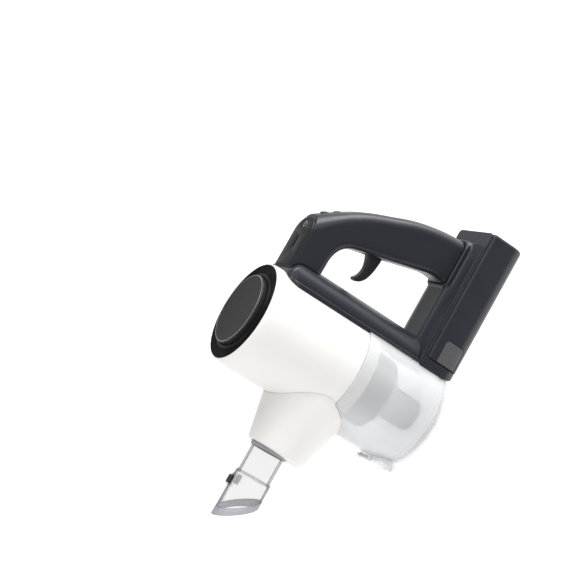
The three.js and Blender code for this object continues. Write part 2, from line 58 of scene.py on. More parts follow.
def plastic(name, base, rough, grain=0.25, grain_scale=9000.0, mottle=0.04, spec=0.5, coat=0.0, coat_rough=0.1, rough_var=0.06, wave=0.0):
    """Moulded plastic: base colour with a slight unevenness, uneven gloss and a fine moulded grain."""
    m, n, l, b = new_material(name)
    tc = n.new("ShaderNodeTexCoord")
    big = n.new("ShaderNodeTexNoise")
    big.inputs["Scale"].default_value = 38.0
    big.inputs["Detail"].default_value = 4.0
    l.new(tc.outputs["Object"], big.inputs["Vector"])
    ramp = n.new("ShaderNodeValToRGB")
    ramp.color_ramp.elements[0].position = 0.3
    ramp.color_ramp.elements[1].position = 0.7
    ramp.color_ramp.elements[0].color = [c * (1 - mottle) for c in base] + [1]
    ramp.color_ramp.elements[1].color = [min(1, c * (1 + mottle)) for c in base] + [1]
    l.new(big.outputs["Fac"], ramp.inputs["Fac"])
    l.new(ramp.outputs["Color"], b.inputs["Base Color"])
    mid = n.new("ShaderNodeTexNoise")
    mid.inputs["Scale"].default_value = 160.0
    mid.inputs["Detail"].default_value = 6.0
    l.new(tc.outputs["Object"], mid.inputs["Vector"])
    mr = n.new("ShaderNodeMapRange")
    mr.inputs["From Min"].default_value = 0.3
    mr.inputs["From Max"].default_value = 0.7
    mr.inputs["To Min"].default_value = rough - rough_var
    mr.inputs["To Max"].default_value = rough + rough_var
    l.new(mid.outputs["Fac"], mr.inputs["Value"])
    l.new(mr.outputs["Result"], b.inputs["Roughness"])
    fine = n.new("ShaderNodeTexNoise")
    fine.inputs["Scale"].default_value = grain_scale / 4
    fine.inputs["Detail"].default_value = 2.0
    l.new(tc.outputs["Object"], fine.inputs["Vector"])
    bump = n.new("ShaderNodeBump")
    bump.inputs["Strength"].default_value = grain
    bump.inputs["Distance"].default_value = 0.00008
    l.new(fine.outputs["Fac"], bump.inputs["Height"])
    l.new(bump.outputs["Normal"], b.inputs["Normal"])
    b.inputs["Specular IOR Level"].default_value = spec
    if coat:
        b.inputs["Coat Weight"].default_value = coat
        b.inputs["Coat Roughness"].default_value = coat_rough
    return m


def clear(name, centre, edge, a_centre, a_edge, rough=0.12, blend=0.35, power=(0.0, 1.0), grain=0.05, spec=0.5):
    """Clear moulded plastic: nearly open face on, denser and darker where the wall is seen edge on."""
    m, n, l, b = new_material(name)
    lw = n.new("ShaderNodeLayerWeight")
    lw.inputs["Blend"].default_value = blend
    tc = n.new("ShaderNodeTexCoord")
    noise = n.new("ShaderNodeTexNoise")
    noise.inputs["Scale"].default_value = 60.0
    noise.inputs["Detail"].default_value = 3.0
    l.new(tc.outputs["Object"], noise.inputs["Vector"])
    ramp = n.new("ShaderNodeValToRGB")
    ramp.color_ramp.elements[0].position = power[0]
    ramp.color_ramp.elements[1].position = power[1]
    ramp.color_ramp.elements[0].color = list(centre) + [1]
    ramp.color_ramp.elements[1].color = list(edge) + [1]
    l.new(lw.outputs["Facing"], ramp.inputs["Fac"])
    l.new(ramp.outputs["Color"], b.inputs["Base Color"])
    mr = n.new("ShaderNodeMapRange")
    mr.inputs["From Min"].default_value = power[0]
    mr.inputs["From Max"].default_value = power[1]
    mr.inputs["To Min"].default_value = a_centre
    mr.inputs["To Max"].default_value = a_edge
    l.new(lw.outputs["Facing"], mr.inputs["Value"])
    l.new(mr.outputs["Result"], b.inputs["Alpha"])
    r2 = n.new("ShaderNodeMapRange")
    r2.inputs["To Min"].default_value = rough * 0.8
    r2.inputs["To Max"].default_value = rough * 1.25
    l.new(noise.outputs["Fac"], r2.inputs["Value"])
    l.new(r2.outputs["Result"], b.inputs["Roughness"])
    fine = n.new("ShaderNodeTexNoise")
    fine.inputs["Scale"].default_value = 420.0
    l.new(tc.outputs["Object"], fine.inputs["Vector"])
    bump = n.new("ShaderNodeBump")
    bump.inputs["Strength"].default_value = grain
    bump.inputs["Distance"].default_value = 0.0002
    l.new(fine.outputs["Fac"], bump.inputs["Height"])
    l.new(bump.outputs["Normal"], b.inputs["Normal"])
    b.inputs["IOR"].default_value = 1.5
    b.inputs["Specular IOR Level"].default_value = spec
    return m


def metal(name, base, rough, brushed=0.3):
    m, n, l, b = new_material(name)
    b.inputs["Metallic"].default_value = 1.0
    tc = n.new("ShaderNodeTexCoord")
    mp = n.new("ShaderNodeMapping")
    mp.inputs["Scale"].default_value = (1, 1, 14)
    l.new(tc.outputs["Object"], mp.inputs["Vector"])
    noise = n.new("ShaderNodeTexNoise")
    noise.inputs["Scale"].default_value = 500.0
    noise.inputs["Detail"].default_value = 5.0
    l.new(mp.outputs["Vector"], noise.inputs["Vector"])
    ramp = n.new("ShaderNodeValToRGB")
    ramp.color_ramp.elements[0].color = [c * 0.8 for c in base] + [1]
    ramp.color_ramp.elements[1].color = [min(1, c * 1.1) for c in base] + [1]
    l.new(noise.outputs["Fac"], ramp.inputs["Fac"])
    l.new(ramp.outputs["Color"], b.inputs["Base Color"])
    mr = n.new("ShaderNodeMapRange")
    mr.inputs["To Min"].default_value = rough - 0.08
    mr.inputs["To Max"].default_value = rough + 0.08
    l.new(noise.outputs["Fac"], mr.inputs["Value"])
    l.new(mr.outputs["Result"], b.inputs["Roughness"])
    bump = n.new("ShaderNodeBump")
    bump.inputs["Strength"].default_value = brushed
    bump.inputs["Distance"].default_value = 0.00005
    l.new(noise.outputs["Fac"], bump.inputs["Height"])
    l.new(bump.outputs["Normal"], b.inputs["Normal"])
    return m


def fibrous(name, base, rough, scale, depth, contrast):
    m, n, l, b = new_material(name)
    tc = n.new("ShaderNodeTexCoord")
    v = n.new("ShaderNodeTexVoronoi")
    v.inputs["Scale"].default_value = scale
    l.new(tc.outputs["Object"], v.inputs["Vector"])
    ramp = n.new("ShaderNodeValToRGB")
    ramp.color_ramp.elements[0].color = [c * (1 - contrast) for c in base] + [1]
    ramp.color_ramp.elements[1].color = [min(1, c * (1 + contrast)) for c in base] + [1]
    l.new(v.outputs["Distance"], ramp.inputs["Fac"])
    l.new(ramp.outputs["Color"], b.inputs["Base Color"])
    b.inputs["Roughness"].default_value = rough
    bump = n.new("ShaderNodeBump")
    bump.inputs["Strength"].default_value = 0.8
    bump.inputs["Distance"].default_value = depth
    l.new(v.outputs["Distance"], bump.inputs["Height"])
    l.new(bump.outputs["Normal"], b.inputs["Normal"])
    return m


def lin(r, g, b):
    return [((c / 255) / 12.92 if c / 255 <= 0.04045 else ((c / 255 + 0.055) / 1.055) ** 2.4) for c in (r, g, b)]


MAT = {
    "housing_white": plastic("housing_white", [0.70, 0.685, 0.667], 0.40, grain=0.12, mottle=0.010, spec=0.40),
    "charcoal_plastic": plastic("charcoal_plastic", [0.0150, 0.0163, 0.0225], 0.35, grain=0.10, mottle=0.05, spec=0.50, rough_var=0.03),
    "panel_gloss": plastic("panel_gloss", [0.0105, 0.0115, 0.0125], 0.34, grain=0.04, mottle=0.02, spec=0.12, rough_var=0.03),
    "indicator_lens": plastic("indicator_lens", [0.006, 0.006, 0.007], 0.12, grain=0.02, mottle=0.02, rough_var=0.02),
    "exhaust_black": plastic("exhaust_black", [0.0050, 0.0050, 0.0054], 0.46, grain=0.15, mottle=0.05, spec=0.14),
    "disc_grey": plastic("disc_grey", [0.0200, 0.0200, 0.0202], 0.50, grain=0.20, mottle=0.012, spec=0.14, rough_var=0.02),
    "trigger_dark": plastic("trigger_dark", [0.012, 0.012, 0.014], 0.4, grain=0.2),
    "release_grey": plastic("release_grey", [0.062, 0.062, 0.068], 0.5, grain=0.9, grain_scale=5200.0, mottle=0.07),
    "clear_plastic": clear("clear_plastic", [0.86, 0.87, 0.88], [0.50, 0.51, 0.52], 0.10, 0.62, rough=0.1, blend=0.30),
    "frosted_plastic": plastic("frosted_plastic", [0.55, 0.55, 0.58], 0.4, grain=0.1, mottle=0.02),
    "soft_lip": plastic("soft_lip", [0.46, 0.45, 0.50], 0.45, grain=0.2, mottle=0.03),
    "mesh_steel": metal("mesh_steel", [0.50, 0.50, 0.52], 0.42),
    "fan_plastic": plastic("fan_plastic", [0.33, 0.33, 0.34], 0.45),
    "filter_foam": fibrous("filter_foam", [0.09, 0.10, 0.11], 0.95, 900.0, 0.0006, 0.4),
    "filter_paper": fibrous("filter_paper", [0.78, 0.77, 0.71], 0.9, 1500.0, 0.0001, 0.06),
    "rubber_black": plastic("rubber_black", [0.013, 0.013, 0.013], 0.7, grain=0.6),
    "steel": metal("steel", [0.60, 0.61, 0.63], 0.3),
    "copper_winding": metal("copper_winding", [0.62, 0.27, 0.12], 0.35),
    "cell_wrap": plastic("cell_wrap", [0.03, 0.10, 0.26], 0.3, coat=0.4),
    "contact_brass": metal("contact_brass", [0.78, 0.58, 0.25], 0.28),
    "circuit_green": plastic("circuit_green", [0.012, 0.09, 0.035], 0.4, grain=0.3),
}
MAT["bin_clear"] = clear("bin_clear", [0.78, 0.79, 0.795], [0.56, 0.57, 0.575], 0.30, 0.76, rough=0.16, blend=0.34)
MAT["lid_clear"] = clear("lid_clear", [0.76, 0.765, 0.77], [0.40, 0.41, 0.42], 0.26, 0.78, rough=0.12, blend=0.34)
MAT["tube_clear"] = clear("tube_clear", [0.30, 0.30, 0.31], [0.035, 0.035, 0.04], 0.125, 0.90, rough=0.10, blend=0.5, power=(0.50, 0.86), spec=0.08)
MAT["lip_soft"] = clear("lip_soft", [0.35, 0.345, 0.385], [0.30, 0.30, 0.335], 0.64, 0.92, rough=0.4, blend=0.4, spec=0.25)
MAT["ring_clear"] = clear("ring_clear", [0.92, 0.92, 0.92], [0.80, 0.80, 0.81], 0.02, 0.10, rough=0.2, blend=0.3, spec=0.2)
MAT["edge_line"] = clear("edge_line", [0.10, 0.10, 0.11], [0.08, 0.08, 0.09], 0.44, 0.60, rough=0.3, blend=0.4, spec=0.1)
MAT["gasket_clear"] = clear("gasket_clear", [0.86, 0.86, 0.87], [0.72, 0.72, 0.73], 0.10, 0.30, rough=0.3, blend=0.4, spec=0.15)
MAT["pin_light"] = plastic("pin_light", [0.74, 0.75, 0.76], 0.3, grain=0.05, mottle=0.02)
# painted highlight: a lighter grey for the ring on the disc's edge, standing in for the highlight along its chamfer
MAT["disc_edge"] = plastic("disc_edge", [0.26, 0.26, 0.26], 0.22, grain=0.05, mottle=0.02)
MAT["inner_grey"] = plastic("inner_grey", [0.40, 0.40, 0.425], 0.42, grain=0.1, mottle=0.03)
MAT["tube_grey"] = plastic("tube_grey", [0.27, 0.27, 0.285], 0.42, grain=0.1, mottle=0.03)
MAT["ring_white"] = plastic("ring_white", [0.90, 0.90, 0.90], 0.35, grain=0.08, mottle=0.01)



def shade_graded_plastic(name, base, rough, z_dark, z_light, dark):
    """Moulded plastic with painted shade: its colour darkens towards its lower end."""
    m = plastic(name, base, rough, grain=0.1, mottle=0.03)
    n, l, b = m.node_tree.nodes, m.node_tree.links, m.node_tree.nodes["Principled BSDF"]
    old = b.inputs["Base Color"].links[0].from_socket
    tc = n.new("ShaderNodeTexCoord")
    sep = n.new("ShaderNodeSeparateXYZ")
    l.new(tc.outputs["Object"], sep.inputs["Vector"])
    mr = n.new("ShaderNodeMapRange")
    mr.inputs["From Min"].default_value, mr.inputs["From Max"].default_value = z_dark, z_light
    mr.inputs["To Min"].default_value, mr.inputs["To Max"].default_value = dark, 1.0
    l.new(sep.outputs["Z"], mr.inputs["Value"])
    mix = n.new("ShaderNodeVectorMath")
    mix.operation = "SCALE"
    l.new(old, mix.inputs[0])
    l.new(mr.outputs["Result"], mix.inputs["Scale"])
    l.new(mix.outputs["Vector"], b.inputs["Base Color"])
    return m


# painted shade: the dust cone's grey is darkened towards its lower end to stand in for shading
MAT["cone_grey"] = shade_graded_plastic("cone_grey", [0.42, 0.42, 0.445], 0.42, 0.010, 0.034, 0.34)

# ------------------------------------------------------------------ mesh helpers


def to_row(v):
    v = np.asarray(v, float).reshape(-1, 3).copy()
    v[:, 1] += SHIFT
    return v / 1000.0


def make(name, verts, faces, body, slot, material=None, reps=(), normals=None, smooth=True, angle=None):
    me = bpy.data.meshes.new(name)
    v = to_row(verts)
    me.from_pydata(v.tolist(), [], [list(map(int, f)) for f in faces])
    me.validate()
    me.update()
    if smooth:
        me.polygons.foreach_set("use_smooth", np.ones(len(me.polygons), bool))
    if normals is not None and len(me.vertices) == len(normals):
        me.normals_split_custom_set_from_vertices(np.asarray(normals, float).tolist())
    elif angle is not None:
        me.set_sharp_from_angle(angle=math.radians(angle))
    o = bpy.data.objects.new(name, me)
    bpy.context.scene.collection.objects.link(o)
    me.materials.append(MAT[material or slot])
    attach(o, body)
    if reps:
        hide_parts(*reps)
    return o


def rounded_profile(points, radius, steps=5, closed=True):
    """A polyline of (x, y) with each corner rounded; radius is one number or one per corner."""
    p = [np.array(q, float) for q in points]
    r = [radius] * len(p) if np.isscalar(radius) else list(radius)
    out = []
    n = len(p)
    for i in range(n):
        if not closed and i in (0, n - 1):
            out.append(tuple(p[i]))
            continue
        a, b, c = p[i - 1], p[i], p[(i + 1) % n]
        u, w = a - b, c - b
        lu, lw = np.linalg.norm(u), np.linalg.norm(w)
        if lu < 1e-9 or lw < 1e-9 or r[i] <= 0:
            out.append(tuple(b))
            continue
        u, w = u / lu, w / lw
        ang = math.acos(max(-1, min(1, float(u @ w))))
        if ang > math.radians(176):
            out.append(tuple(b))
            continue
        d = min(r[i] / math.tan(ang / 2), 0.48 * lu, 0.48 * lw)
        rr = d * math.tan(ang / 2)
        bis = (u + w) / np.linalg.norm(u + w)
        centre = b + bis * (rr / math.sin(ang / 2))
        s, e = b + u * d - centre, b + w * d - centre
        a0, a1 = math.atan2(s[1], s[0]), math.atan2(e[1], e[0])
        da = (a1 - a0 + math.pi) % (2 * math.pi) - math.pi
        for k in range(steps + 1):
            t = a0 + da * k / steps
            out.append((centre[0] + rr * math.cos(t), centre[1] + rr * math.sin(t)))
    return out


def lathe(name, profile, body, slot, material=None, reps=(), segs=160, radius=0.3, matrix=None, closed=True, angle=40, steps=4, open_arc=None):
    """A closed (r, z) profile turned about Z (mm), with its corners rounded."""
    prof = rounded_profile(profile, radius, steps, closed) if radius is not None else profile
    prof = np.array(prof, float)
    m = len(prof)
    th = np.linspace(0, 2 * math.pi, segs, endpoint=False)
    V = np.zeros((segs, m, 3))
    V[:, :, 0] = np.cos(th)[:, None] * prof[None, :, 0]
    V[:, :, 1] = np.sin(th)[:, None] * prof[None, :, 0]
    V[:, :, 2] = prof[None, :, 1]
    V = V.reshape(-1, 3)
    F = []
    on_axis = prof[:, 0] < 1e-6
    for i in range(segs):
        j = (i + 1) % segs
        for k in range(m if closed else m - 1):
            q = (k + 1) % m
            if on_axis[k] and on_axis[q]:
                continue
            if on_axis[k]:
                F.append((k, j * m + q, i * m + q))
            elif on_axis[q]:
                F.append((i * m + k, j * m + k, q))
            else:
                F.append((i * m + k, j * m + k, j * m + q, i * m + q))
    # points on the axis are shared, so the copies are dropped
    used = sorted({x for f in F for x in f})
    back = {x: i for i, x in enumerate(used)}
    V = V[used]
    F = [tuple(back[x] for x in f) for f in F]
    if matrix is not None:
        R = np.array(matrix)[:3, :3]
        V = V @ R.T + np.array(matrix)[:3, 3]
    o = make(name, V, F, body, slot, material, reps, angle=angle)
    fix_normals(o)
    return o


def fix_normals(o):
    import bmesh

    bm = bmesh.new()
    bm.from_mesh(o.data)
    bmesh.ops.recalc_face_normals(bm, faces=bm.faces)
    bm.to_mesh(o.data)
    bm.free()
    o.data.update()


def plate(name, loops, z0, z1, bevel, body, slot, material=None, reps=(), matrix=None, angle=35):
    """A flat plate between z0 and z1 with an outline, any holes, and a bevelled upper edge. loops[0] is the outline."""
    V, F = [], []

    def offset(loop, d):
        p = np.array(loop, float)
        nx, pv = np.roll(p, -1, 0), np.roll(p, 1, 0)
        area = 0.5 * np.sum(p[:, 0] * nx[:, 1] - nx[:, 0] * p[:, 1])
        e1, e2 = p - pv, nx - p
        e1 /= np.linalg.norm(e1, axis=1)[:, None] + 1e-12
        e2 /= np.linalg.norm(e2, axis=1)[:, None] + 1e-12
        s = 1 if area > 0 else -1
        n1, n2 = np.stack([-e1[:, 1], e1[:, 0]], 1) * s, np.stack([-e2[:, 1], e2[:, 0]], 1) * s
        mm = n1 + n2
        k = d / np.maximum(0.4, 1 + (n1 * n2).sum(1))
        return p + mm * k[:, None]

    rings_top, rings_bottom = [], []
    for li, loop in enumerate(loops):
        sgn = 1 if li == 0 else -1
        levels = [(0, z0)]
        nb = 4
        for k in range(nb + 1):
            a = math.pi / 2 * k / nb
            levels.append((bevel * (1 - math.cos(a)), z1 - bevel + bevel * math.sin(a)))
        base = len(V)
        n = len(loop)
        for d, z in levels:
            pts = offset(loop, d * sgn)
            V += [(x, y, z) for x, y in pts]
        for r in range(len(levels) - 1):
            for i in range(n):
                j = (i + 1) % n
                F.append((base + r * n + i, base + r * n + j, base + (r + 1) * n + j, base + (r + 1) * n + i))
        rings_bottom.append([base + i for i in range(n)])
        rings_top.append([base + (len(levels) - 1) * n + i for i in range(n)])
    for rings in (rings_top, rings_bottom):
        flat = [x for r in rings for x in r]
        tris = tessellate_polygon([[Vector((V[x][0], V[x][1], 0)) for x in r] for r in rings])
        F += [tuple(flat[i] for i in t) for t in tris]
    V = np.array(V, float)
    if matrix is not None:
        R = np.array(matrix)[:3, :3]
        V = V @ R.T + np.array(matrix)[:3, 3]
    o = make(name, V, F, body, slot, material, reps, angle=angle)
    fix_normals(o)
    o.data.set_sharp_from_angle(angle=math.radians(angle))
    return o


# ------------------------------------------------------------------ modelled shells: an exact surface from distance functions


def poly_distance(a, b, poly):
    """Signed distance in the plane to a closed polygon, negative inside. a and b broadcast."""
    a, b = np.broadcast_arrays(np.asarray(a, float), np.asarray(b, float))
    p = np.array(poly, float)
    best = np.full(a.shape, 1e18)
    inside = np.zeros(a.shape, bool)
    for i in range(len(p)):
        x0, y0 = p[i - 1]
        x1, y1 = p[i]
        dx, dy = x1 - x0, y1 - y0
        L = dx * dx + dy * dy
        if L < 1e-12:
            continue
        t = np.clip(((a - x0) * dx + (b - y0) * dy) / L, 0, 1)
        d = (a - x0 - t * dx) ** 2 + (b - y0 - t * dy) ** 2
        best = np.minimum(best, d)
        if dy != 0:
            c = (y0 > b) != (y1 > b)
            xi = x0 + (b - y0) / dy * dx
            inside ^= c & (a < xi)
    d = np.sqrt(best)
    return np.where(inside, -d, d)


def rmax(a, b, r):
    """The part common to two solids, with a rounded outer edge of radius r."""
    u, v = np.maximum(a + r, 0), np.maximum(b + r, 0)
    return np.minimum(-r, np.maximum(a, b)) + np.sqrt(u * u + v * v)


def rmin(a, b, r):
    """Two solids joined, with a rounded inner corner of radius r."""
    return -rmax(-a, -b, r)


def catmull(points, n):
    """A smooth curve through points, n steps a span."""
    p = np.array(points, float)
    p = np.vstack([2 * p[0] - p[1], p, 2 * p[-1] - p[-2]])
    out = []
    for i in range(1, len(p) - 2):
        p0, p1, p2, p3 = p[i - 1], p[i], p[i + 1], p[i + 2]
        t0, t1 = 0.0, np.linalg.norm(p1 - p0) ** 0.5
        t2 = t1 + np.linalg.norm(p2 - p1) ** 0.5
        t3 = t2 + np.linalg.norm(p3 - p2) ** 0.5
        for k in range(n):
            t = t1 + (t2 - t1) * k / n
            a1 = (t1 - t) / (t1 - t0) * p0 + (t - t0) / (t1 - t0) * p1
            a2 = (t2 - t) / (t2 - t1) * p1 + (t - t1) / (t2 - t1) * p2
            a3 = (t3 - t) / (t3 - t2) * p2 + (t - t2) / (t3 - t2) * p3
            b1 = (t2 - t) / (t2 - t0) * a1 + (t - t0) / (t2 - t0) * a2
            b2 = (t3 - t) / (t3 - t1) * a2 + (t - t1) / (t3 - t1) * a3
            out.append((t2 - t) / (t2 - t1) * b1 + (t - t1) / (t2 - t1) * b2)
    out.append(p[-2])
    return [tuple(q) for q in out]


def gradient(f, P, e=0.02):
    g = np.zeros_like(P)
    for k in range(3):
        d = np.zeros(3)
        d[k] = e
        A, B = P + d, P - d
        g[:, k] = (f(A[:, 0], A[:, 1], A[:, 2]) - f(B[:, 0], B[:, 1], B[:, 2])) / (2 * e)
    return g


def surface(f, lo, hi, h):
    """Vertices, quads and normals of f = 0 inside a box (mm)."""
    lo = np.array(lo, float) - 1.5 * h
    hi = np.array(hi, float) + 1.5 * h
    n = np.ceil((hi - lo) / h).astype(int) + 1
    ax = [lo[k] + h * np.arange(n[k]) for k in range(3)]
    S = f(ax[0][:, None, None], ax[1][None, :, None], ax[2][None, None, :])
    neg = np.broadcast_to(S, tuple(n)) < 0
    c = np.zeros(tuple(n - 1), np.int8)
    for i in (0, 1):
        for j in (0, 1):
            for k in (0, 1):
                c += neg[i : n[0] - 1 + i, j : n[1] - 1 + j, k : n[2] - 1 + k]
    act = (c > 0) & (c < 8)
    idx = np.full(act.shape, -1, np.int64)
    idx[act] = np.arange(int(act.sum()))
    I = np.argwhere(act)
    P = lo + (I + 0.5) * h
    quads = []
    for axis in range(3):
        s0 = np.take(neg, range(0, n[axis] - 1), axis)
        s1 = np.take(neg, range(1, n[axis]), axis)
        e = np.argwhere(s0 != s1)
        up = s0[tuple(e.T)]
        b, d = [(1, 2), (2, 0), (0, 1)][axis]
        ok = (e[:, b] > 0) & (e[:, d] > 0) & (e[:, b] < n[b] - 1) & (e[:, d] < n[d] - 1)
        e, up = e[ok], up[ok]

        def at(db, dd):
            q = e.copy()
            q[:, b] += db
            q[:, d] += dd
            return idx[tuple(q.T)]

        q = np.stack([at(-1, -1), at(0, -1), at(0, 0), at(-1, 0)], 1)
        q[~up] = q[~up][:, ::-1]
        quads.append(q)
    Q = np.vstack(quads)
    Q = Q[(Q >= 0).all(1)]

    def project(P, times, cap):
        for _ in range(times):
            v = f(P[:, 0], P[:, 1], P[:, 2])
            g = gradient(f, P)
            L = np.maximum((g * g).sum(1), 0.05)
            step = (v / L)[:, None] * g
            s = np.linalg.norm(step, axis=1)[:, None]
            P = P - step * np.minimum(1, cap / np.maximum(s, 1e-9))
        return P

    P = project(P, 4, 0.6 * h)
    for _ in range(2):
        acc, cnt = np.zeros_like(P), np.zeros(len(P))
        for a, b in ((0, 1), (1, 2), (2, 3), (3, 0)):
            np.add.at(acc, Q[:, a], P[Q[:, b]])
            np.add.at(acc, Q[:, b], P[Q[:, a]])
            np.add.at(cnt, Q[:, a], 1)
            np.add.at(cnt, Q[:, b], 1)
        P = 0.5 * P + 0.5 * acc / np.maximum(cnt, 1)[:, None]
        P = project(P, 2, 0.5 * h)
    N = gradient(f, P, 0.05)
    N /= np.linalg.norm(N, axis=1)[:, None] + 1e-12
    return P, Q, N


def shell(name, f, lo, hi, body, slot, material=None, reps=(), h=None):
    P, Q, N = surface(f, lo, hi, h or VOX)
    return make(name, P, Q, body, slot, material, reps, normals=N)


def cyl(x, y, r):
    return np.sqrt(x * x + y * y) - r


# ------------------------------------------------------------------ dimensions shared with the CAD model, mm
R_BODY, R_BIN, Z_SPLIT, Z_TOP, R_CAP, R_DISC, Z_DISC = 53.3, 55.0, 105.0, 216.8, 50.4, 36.5, 221.8
NOZZLE_Z, TUBE_R, SLEEVE_R = 122.5, 17.1, 18.6
RAIL_W, RAIL_TOP, DOCK_Z, COL_Z, COL_W, COL_Y0, COL_Y1 = 33.0, 69.7, 52.0, 43.0, 34.5, 54.0, 192.0
POST_W, Z_POST = 19.2, 203.0

# ------------------------------------------------------------------ barrel
lathe(
    "housing_shell",
    [(50.0, 90.2), (52.2, 90.2), (52.2, 104.8), (53.3, 105.4), (53.3, 196), (53.25, 202), (52.95, 208), (52.35, 212.2), (51.7, 214.8), (51.1, 216.2), (50.72, 216.3), (50.7, 208), (50.7, 108), (50.0, 105)],
    "main", "housing_white", reps=["motor_housing"], segs=256, radius=[0.3, 0.3, 0.3, 0.35, 0, 30, 20, 12, 8, 0.5, 0.2, 0, 1, 1], steps=6, angle=50,
)
# louvred ring under the raised disc: a smooth step, then fine concentric blades that stand at a slope
prof = [(37.0, 206.6), (37.0, 216.4), (37.6, 217.0), (40.6, 216.7), (41.1, 215.6)]
r = 41.3
while r < 49.0:
    prof += [(r, 213.4), (r + 0.25, 215.95), (r + 0.85, 216.25), (r + 1.05, 213.2)]
    r += 1.32
prof += [(49.35, 213.6), (49.5, 216.5), (49.9, 216.75), (50.35, 216.4), (50.4, 206.6)]
lathe("exhaust_louvres", prof, "exhaust", "exhaust_black", reps=["exhaust_cover"], segs=224, radius=0.14, steps=3, angle=50)
lathe(
    "exhaust_disc",
    [(0, 214.2), (34.6, 214.2), (36.3, 216), (36.5, 220.7), (35.75, 221.72), (35.1, 221.75), (34.8, 221.55), (0, 221.55)],
    "exhaust", "disc_grey", reps=["cover_disc"], segs=224, radius=[0, 0.5, 0.5, 0.25, 0.25, 0.12, 0.12, 0], steps=3, angle=50,
)
# painted highlight: a lighter grey ring round the disc's upper edge stands in for the highlight on its chamfer
lathe(
    "disc_rim_painted_highlight", [(36.42, 220.45), (36.52, 220.65), (35.72, 221.76), (35.25, 221.80), (35.25, 221.70), (35.66, 221.62)],
    "exhaust", "disc_grey", "disc_edge", segs=224, radius=0.05, steps=2, angle=60,
)

# ------------------------------------------------------------------ neck: an oblique cone that meets the barrel in a clean curve
tilt = math.atan2(2.9, 60)
ax = np.array([0, -math.cos(tilt), math.sin(tilt)])
e1 = np.array([1.0, 0, 0])
e2 = np.cross(ax, e1)
C0 = np.array([0, -28.6, 113.2])
NECK = [(0, 44.2), (14, 43.4), (26, 40.4), (66, 30.6), (69.6, 29.6), (71.4, 28.2)]


def neck_r(s, d=0.0):
    return np.interp(s, [q[0] for q in NECK], [q[1] for q in NECK]) + d


def neck_point(phi, s, d=0.0):
    r = neck_r(s, d)
    return C0 + ax * s + r * (math.cos(phi) * e1 + math.sin(phi) * e2)


def neck_hit(phi, rad_hi, rad_lo, d=0.0):
    """The distance along the axis where the cone leaves the barrel: one radius above the split, another below."""
    s = 69.0
    while s > 2:
        p = neck_point(phi, s, d)
        lim = rad_hi if p[2] > 106.5 else rad_lo if p[2] < 104.5 else rad_lo + (rad_hi - rad_lo) * (p[2] - 104.5) / 2
        if math.hypot(p[0], p[1]) <= lim:
            return s
        s -= 0.1
    return 2.0


def neck_mesh():
    nphi, ns = 192, 36
    rows = []
    for i in range(nphi):
        phi = 2 * math.pi * i / nphi
        s0 = neck_hit(phi, R_BODY + 0.16, R_BIN + 0.30)
        line = []
        s1 = max(neck_hit(phi, R_BODY + 0.2, R_BIN + 0.34, -2.4), 6)
        line.append(neck_point(phi, min(s1, 60), -2.4))
        line.append(neck_point(phi, s0 + 0.02, -0.9))
        line.append(neck_point(phi, s0 + 0.08, -0.30))
        line.append(neck_point(phi, s0 + 0.25, -0.08))
        line.append(neck_point(phi, s0 + 0.6, 0))
        for k in range(1, ns):
            t = k / (ns - 1)
            line.append(neck_point(phi, s0 + 0.6 + (68.4 - s0 - 0.6) * t, 0))
        # rounded end of the mouth, then the mouth's flat face in to the tube's collar
        base_r = neck_r(68.4)
        for k in range(1, 9):
            a = math.pi / 2 * k / 8
            rr, ss = base_r - 3.0 * (1 - math.cos(a)), 68.4 + 3.0 * math.sin(a)
            line.append(C0 + ax * ss + rr * (math.cos(phi) * e1 + math.sin(phi) * e2))
        centre = np.array([0, 0, NOZZLE_Z])
        end = line[-1]
        for t, depth in ((0.35, 0), (0.7, 0), (1.0, 0), (1.0, 0.5), (1.0, 4.0)):
            q_in = centre + np.array([19.45 * math.cos(phi), 0, 19.45 * (-math.sin(phi) if e2[2] < 0 else math.sin(phi))])
            q_in[1] = end[1]
            p = end * (1 - t) + q_in * t
            p[1] += depth
            line.append(p)
        rows.append(line)
    m = len(rows[0])
    V = [p for row in rows for p in row]
    F = []
    for i in range(nphi):
        j = (i + 1) % nphi
        for k in range(m - 1):
            F.append((i * m + k, j * m + k, j * m + k + 1, i * m + k + 1))
    o = make("neck_shell", V, F, "main", "housing_white", reps=["neck_inlet"], angle=45)
    fix_normals(o)
    return o


neck = neck_mesh()
# the inner passage of the neck, seen down the tube and from under when the bin is off
lathe("neck_socket", [(17.55, 61), (19.35, 61), (19.35, 98), (17.55, 98)], "main", "housing_white", segs=96, radius=0.2,
      matrix=Matrix.Translation((0, 0, NOZZLE_Z)) @ Matrix.Rotation(math.pi / 2, 4, "X"))
duct_path = catmull([(-64, 122.5), (-58, 119), (-53, 106.5), (-51.2, 104)], 6)


def tube_between(name, path, r0, r1, body, slot, material=None):
    P = [np.array([0, a, b], float) for a, b in path]
    V, F, n = [], [], 48
    frames = []
    for i, p in enumerate(P):
        t = P[min(i + 1, len(P) - 1)] - P[max(i - 1, 0)]
        t /= np.linalg.norm(t)
        u = np.array([1.0, 0, 0])
        frames.append((p, u, np.cross(t, u)))
    for r, order in ((r1, 1), (r0, -1)):
        for p, u, w in frames[::order]:
            for k in range(n):
                a = 2 * math.pi * k / n
                V.append(p + r * (math.cos(a) * u + math.sin(a) * w))
    m = 2 * len(P)
    for i in range(m):
        for k in range(n):
            F.append((i * n + k, i * n + (k + 1) % n, ((i + 1) % m) * n + (k + 1) % n, ((i + 1) % m) * n + k))
    o = make(name, V, F, body, slot, material, angle=45)
    fix_normals(o)
    return o


tube_between("neck_duct", duct_path, 14.6, 16.4, "main", "housing_white")

# ------------------------------------------------------------------ rail along the barrel
side = [(-60, 20), (RAIL_TOP, 20), (RAIL_TOP, 180)] + catmull([(RAIL_TOP, 180), (67.8, 191), (62.4, 199.4), (55, 204.4), (48, 206.2)], 6)[1:] + [(-60, 206.2)]


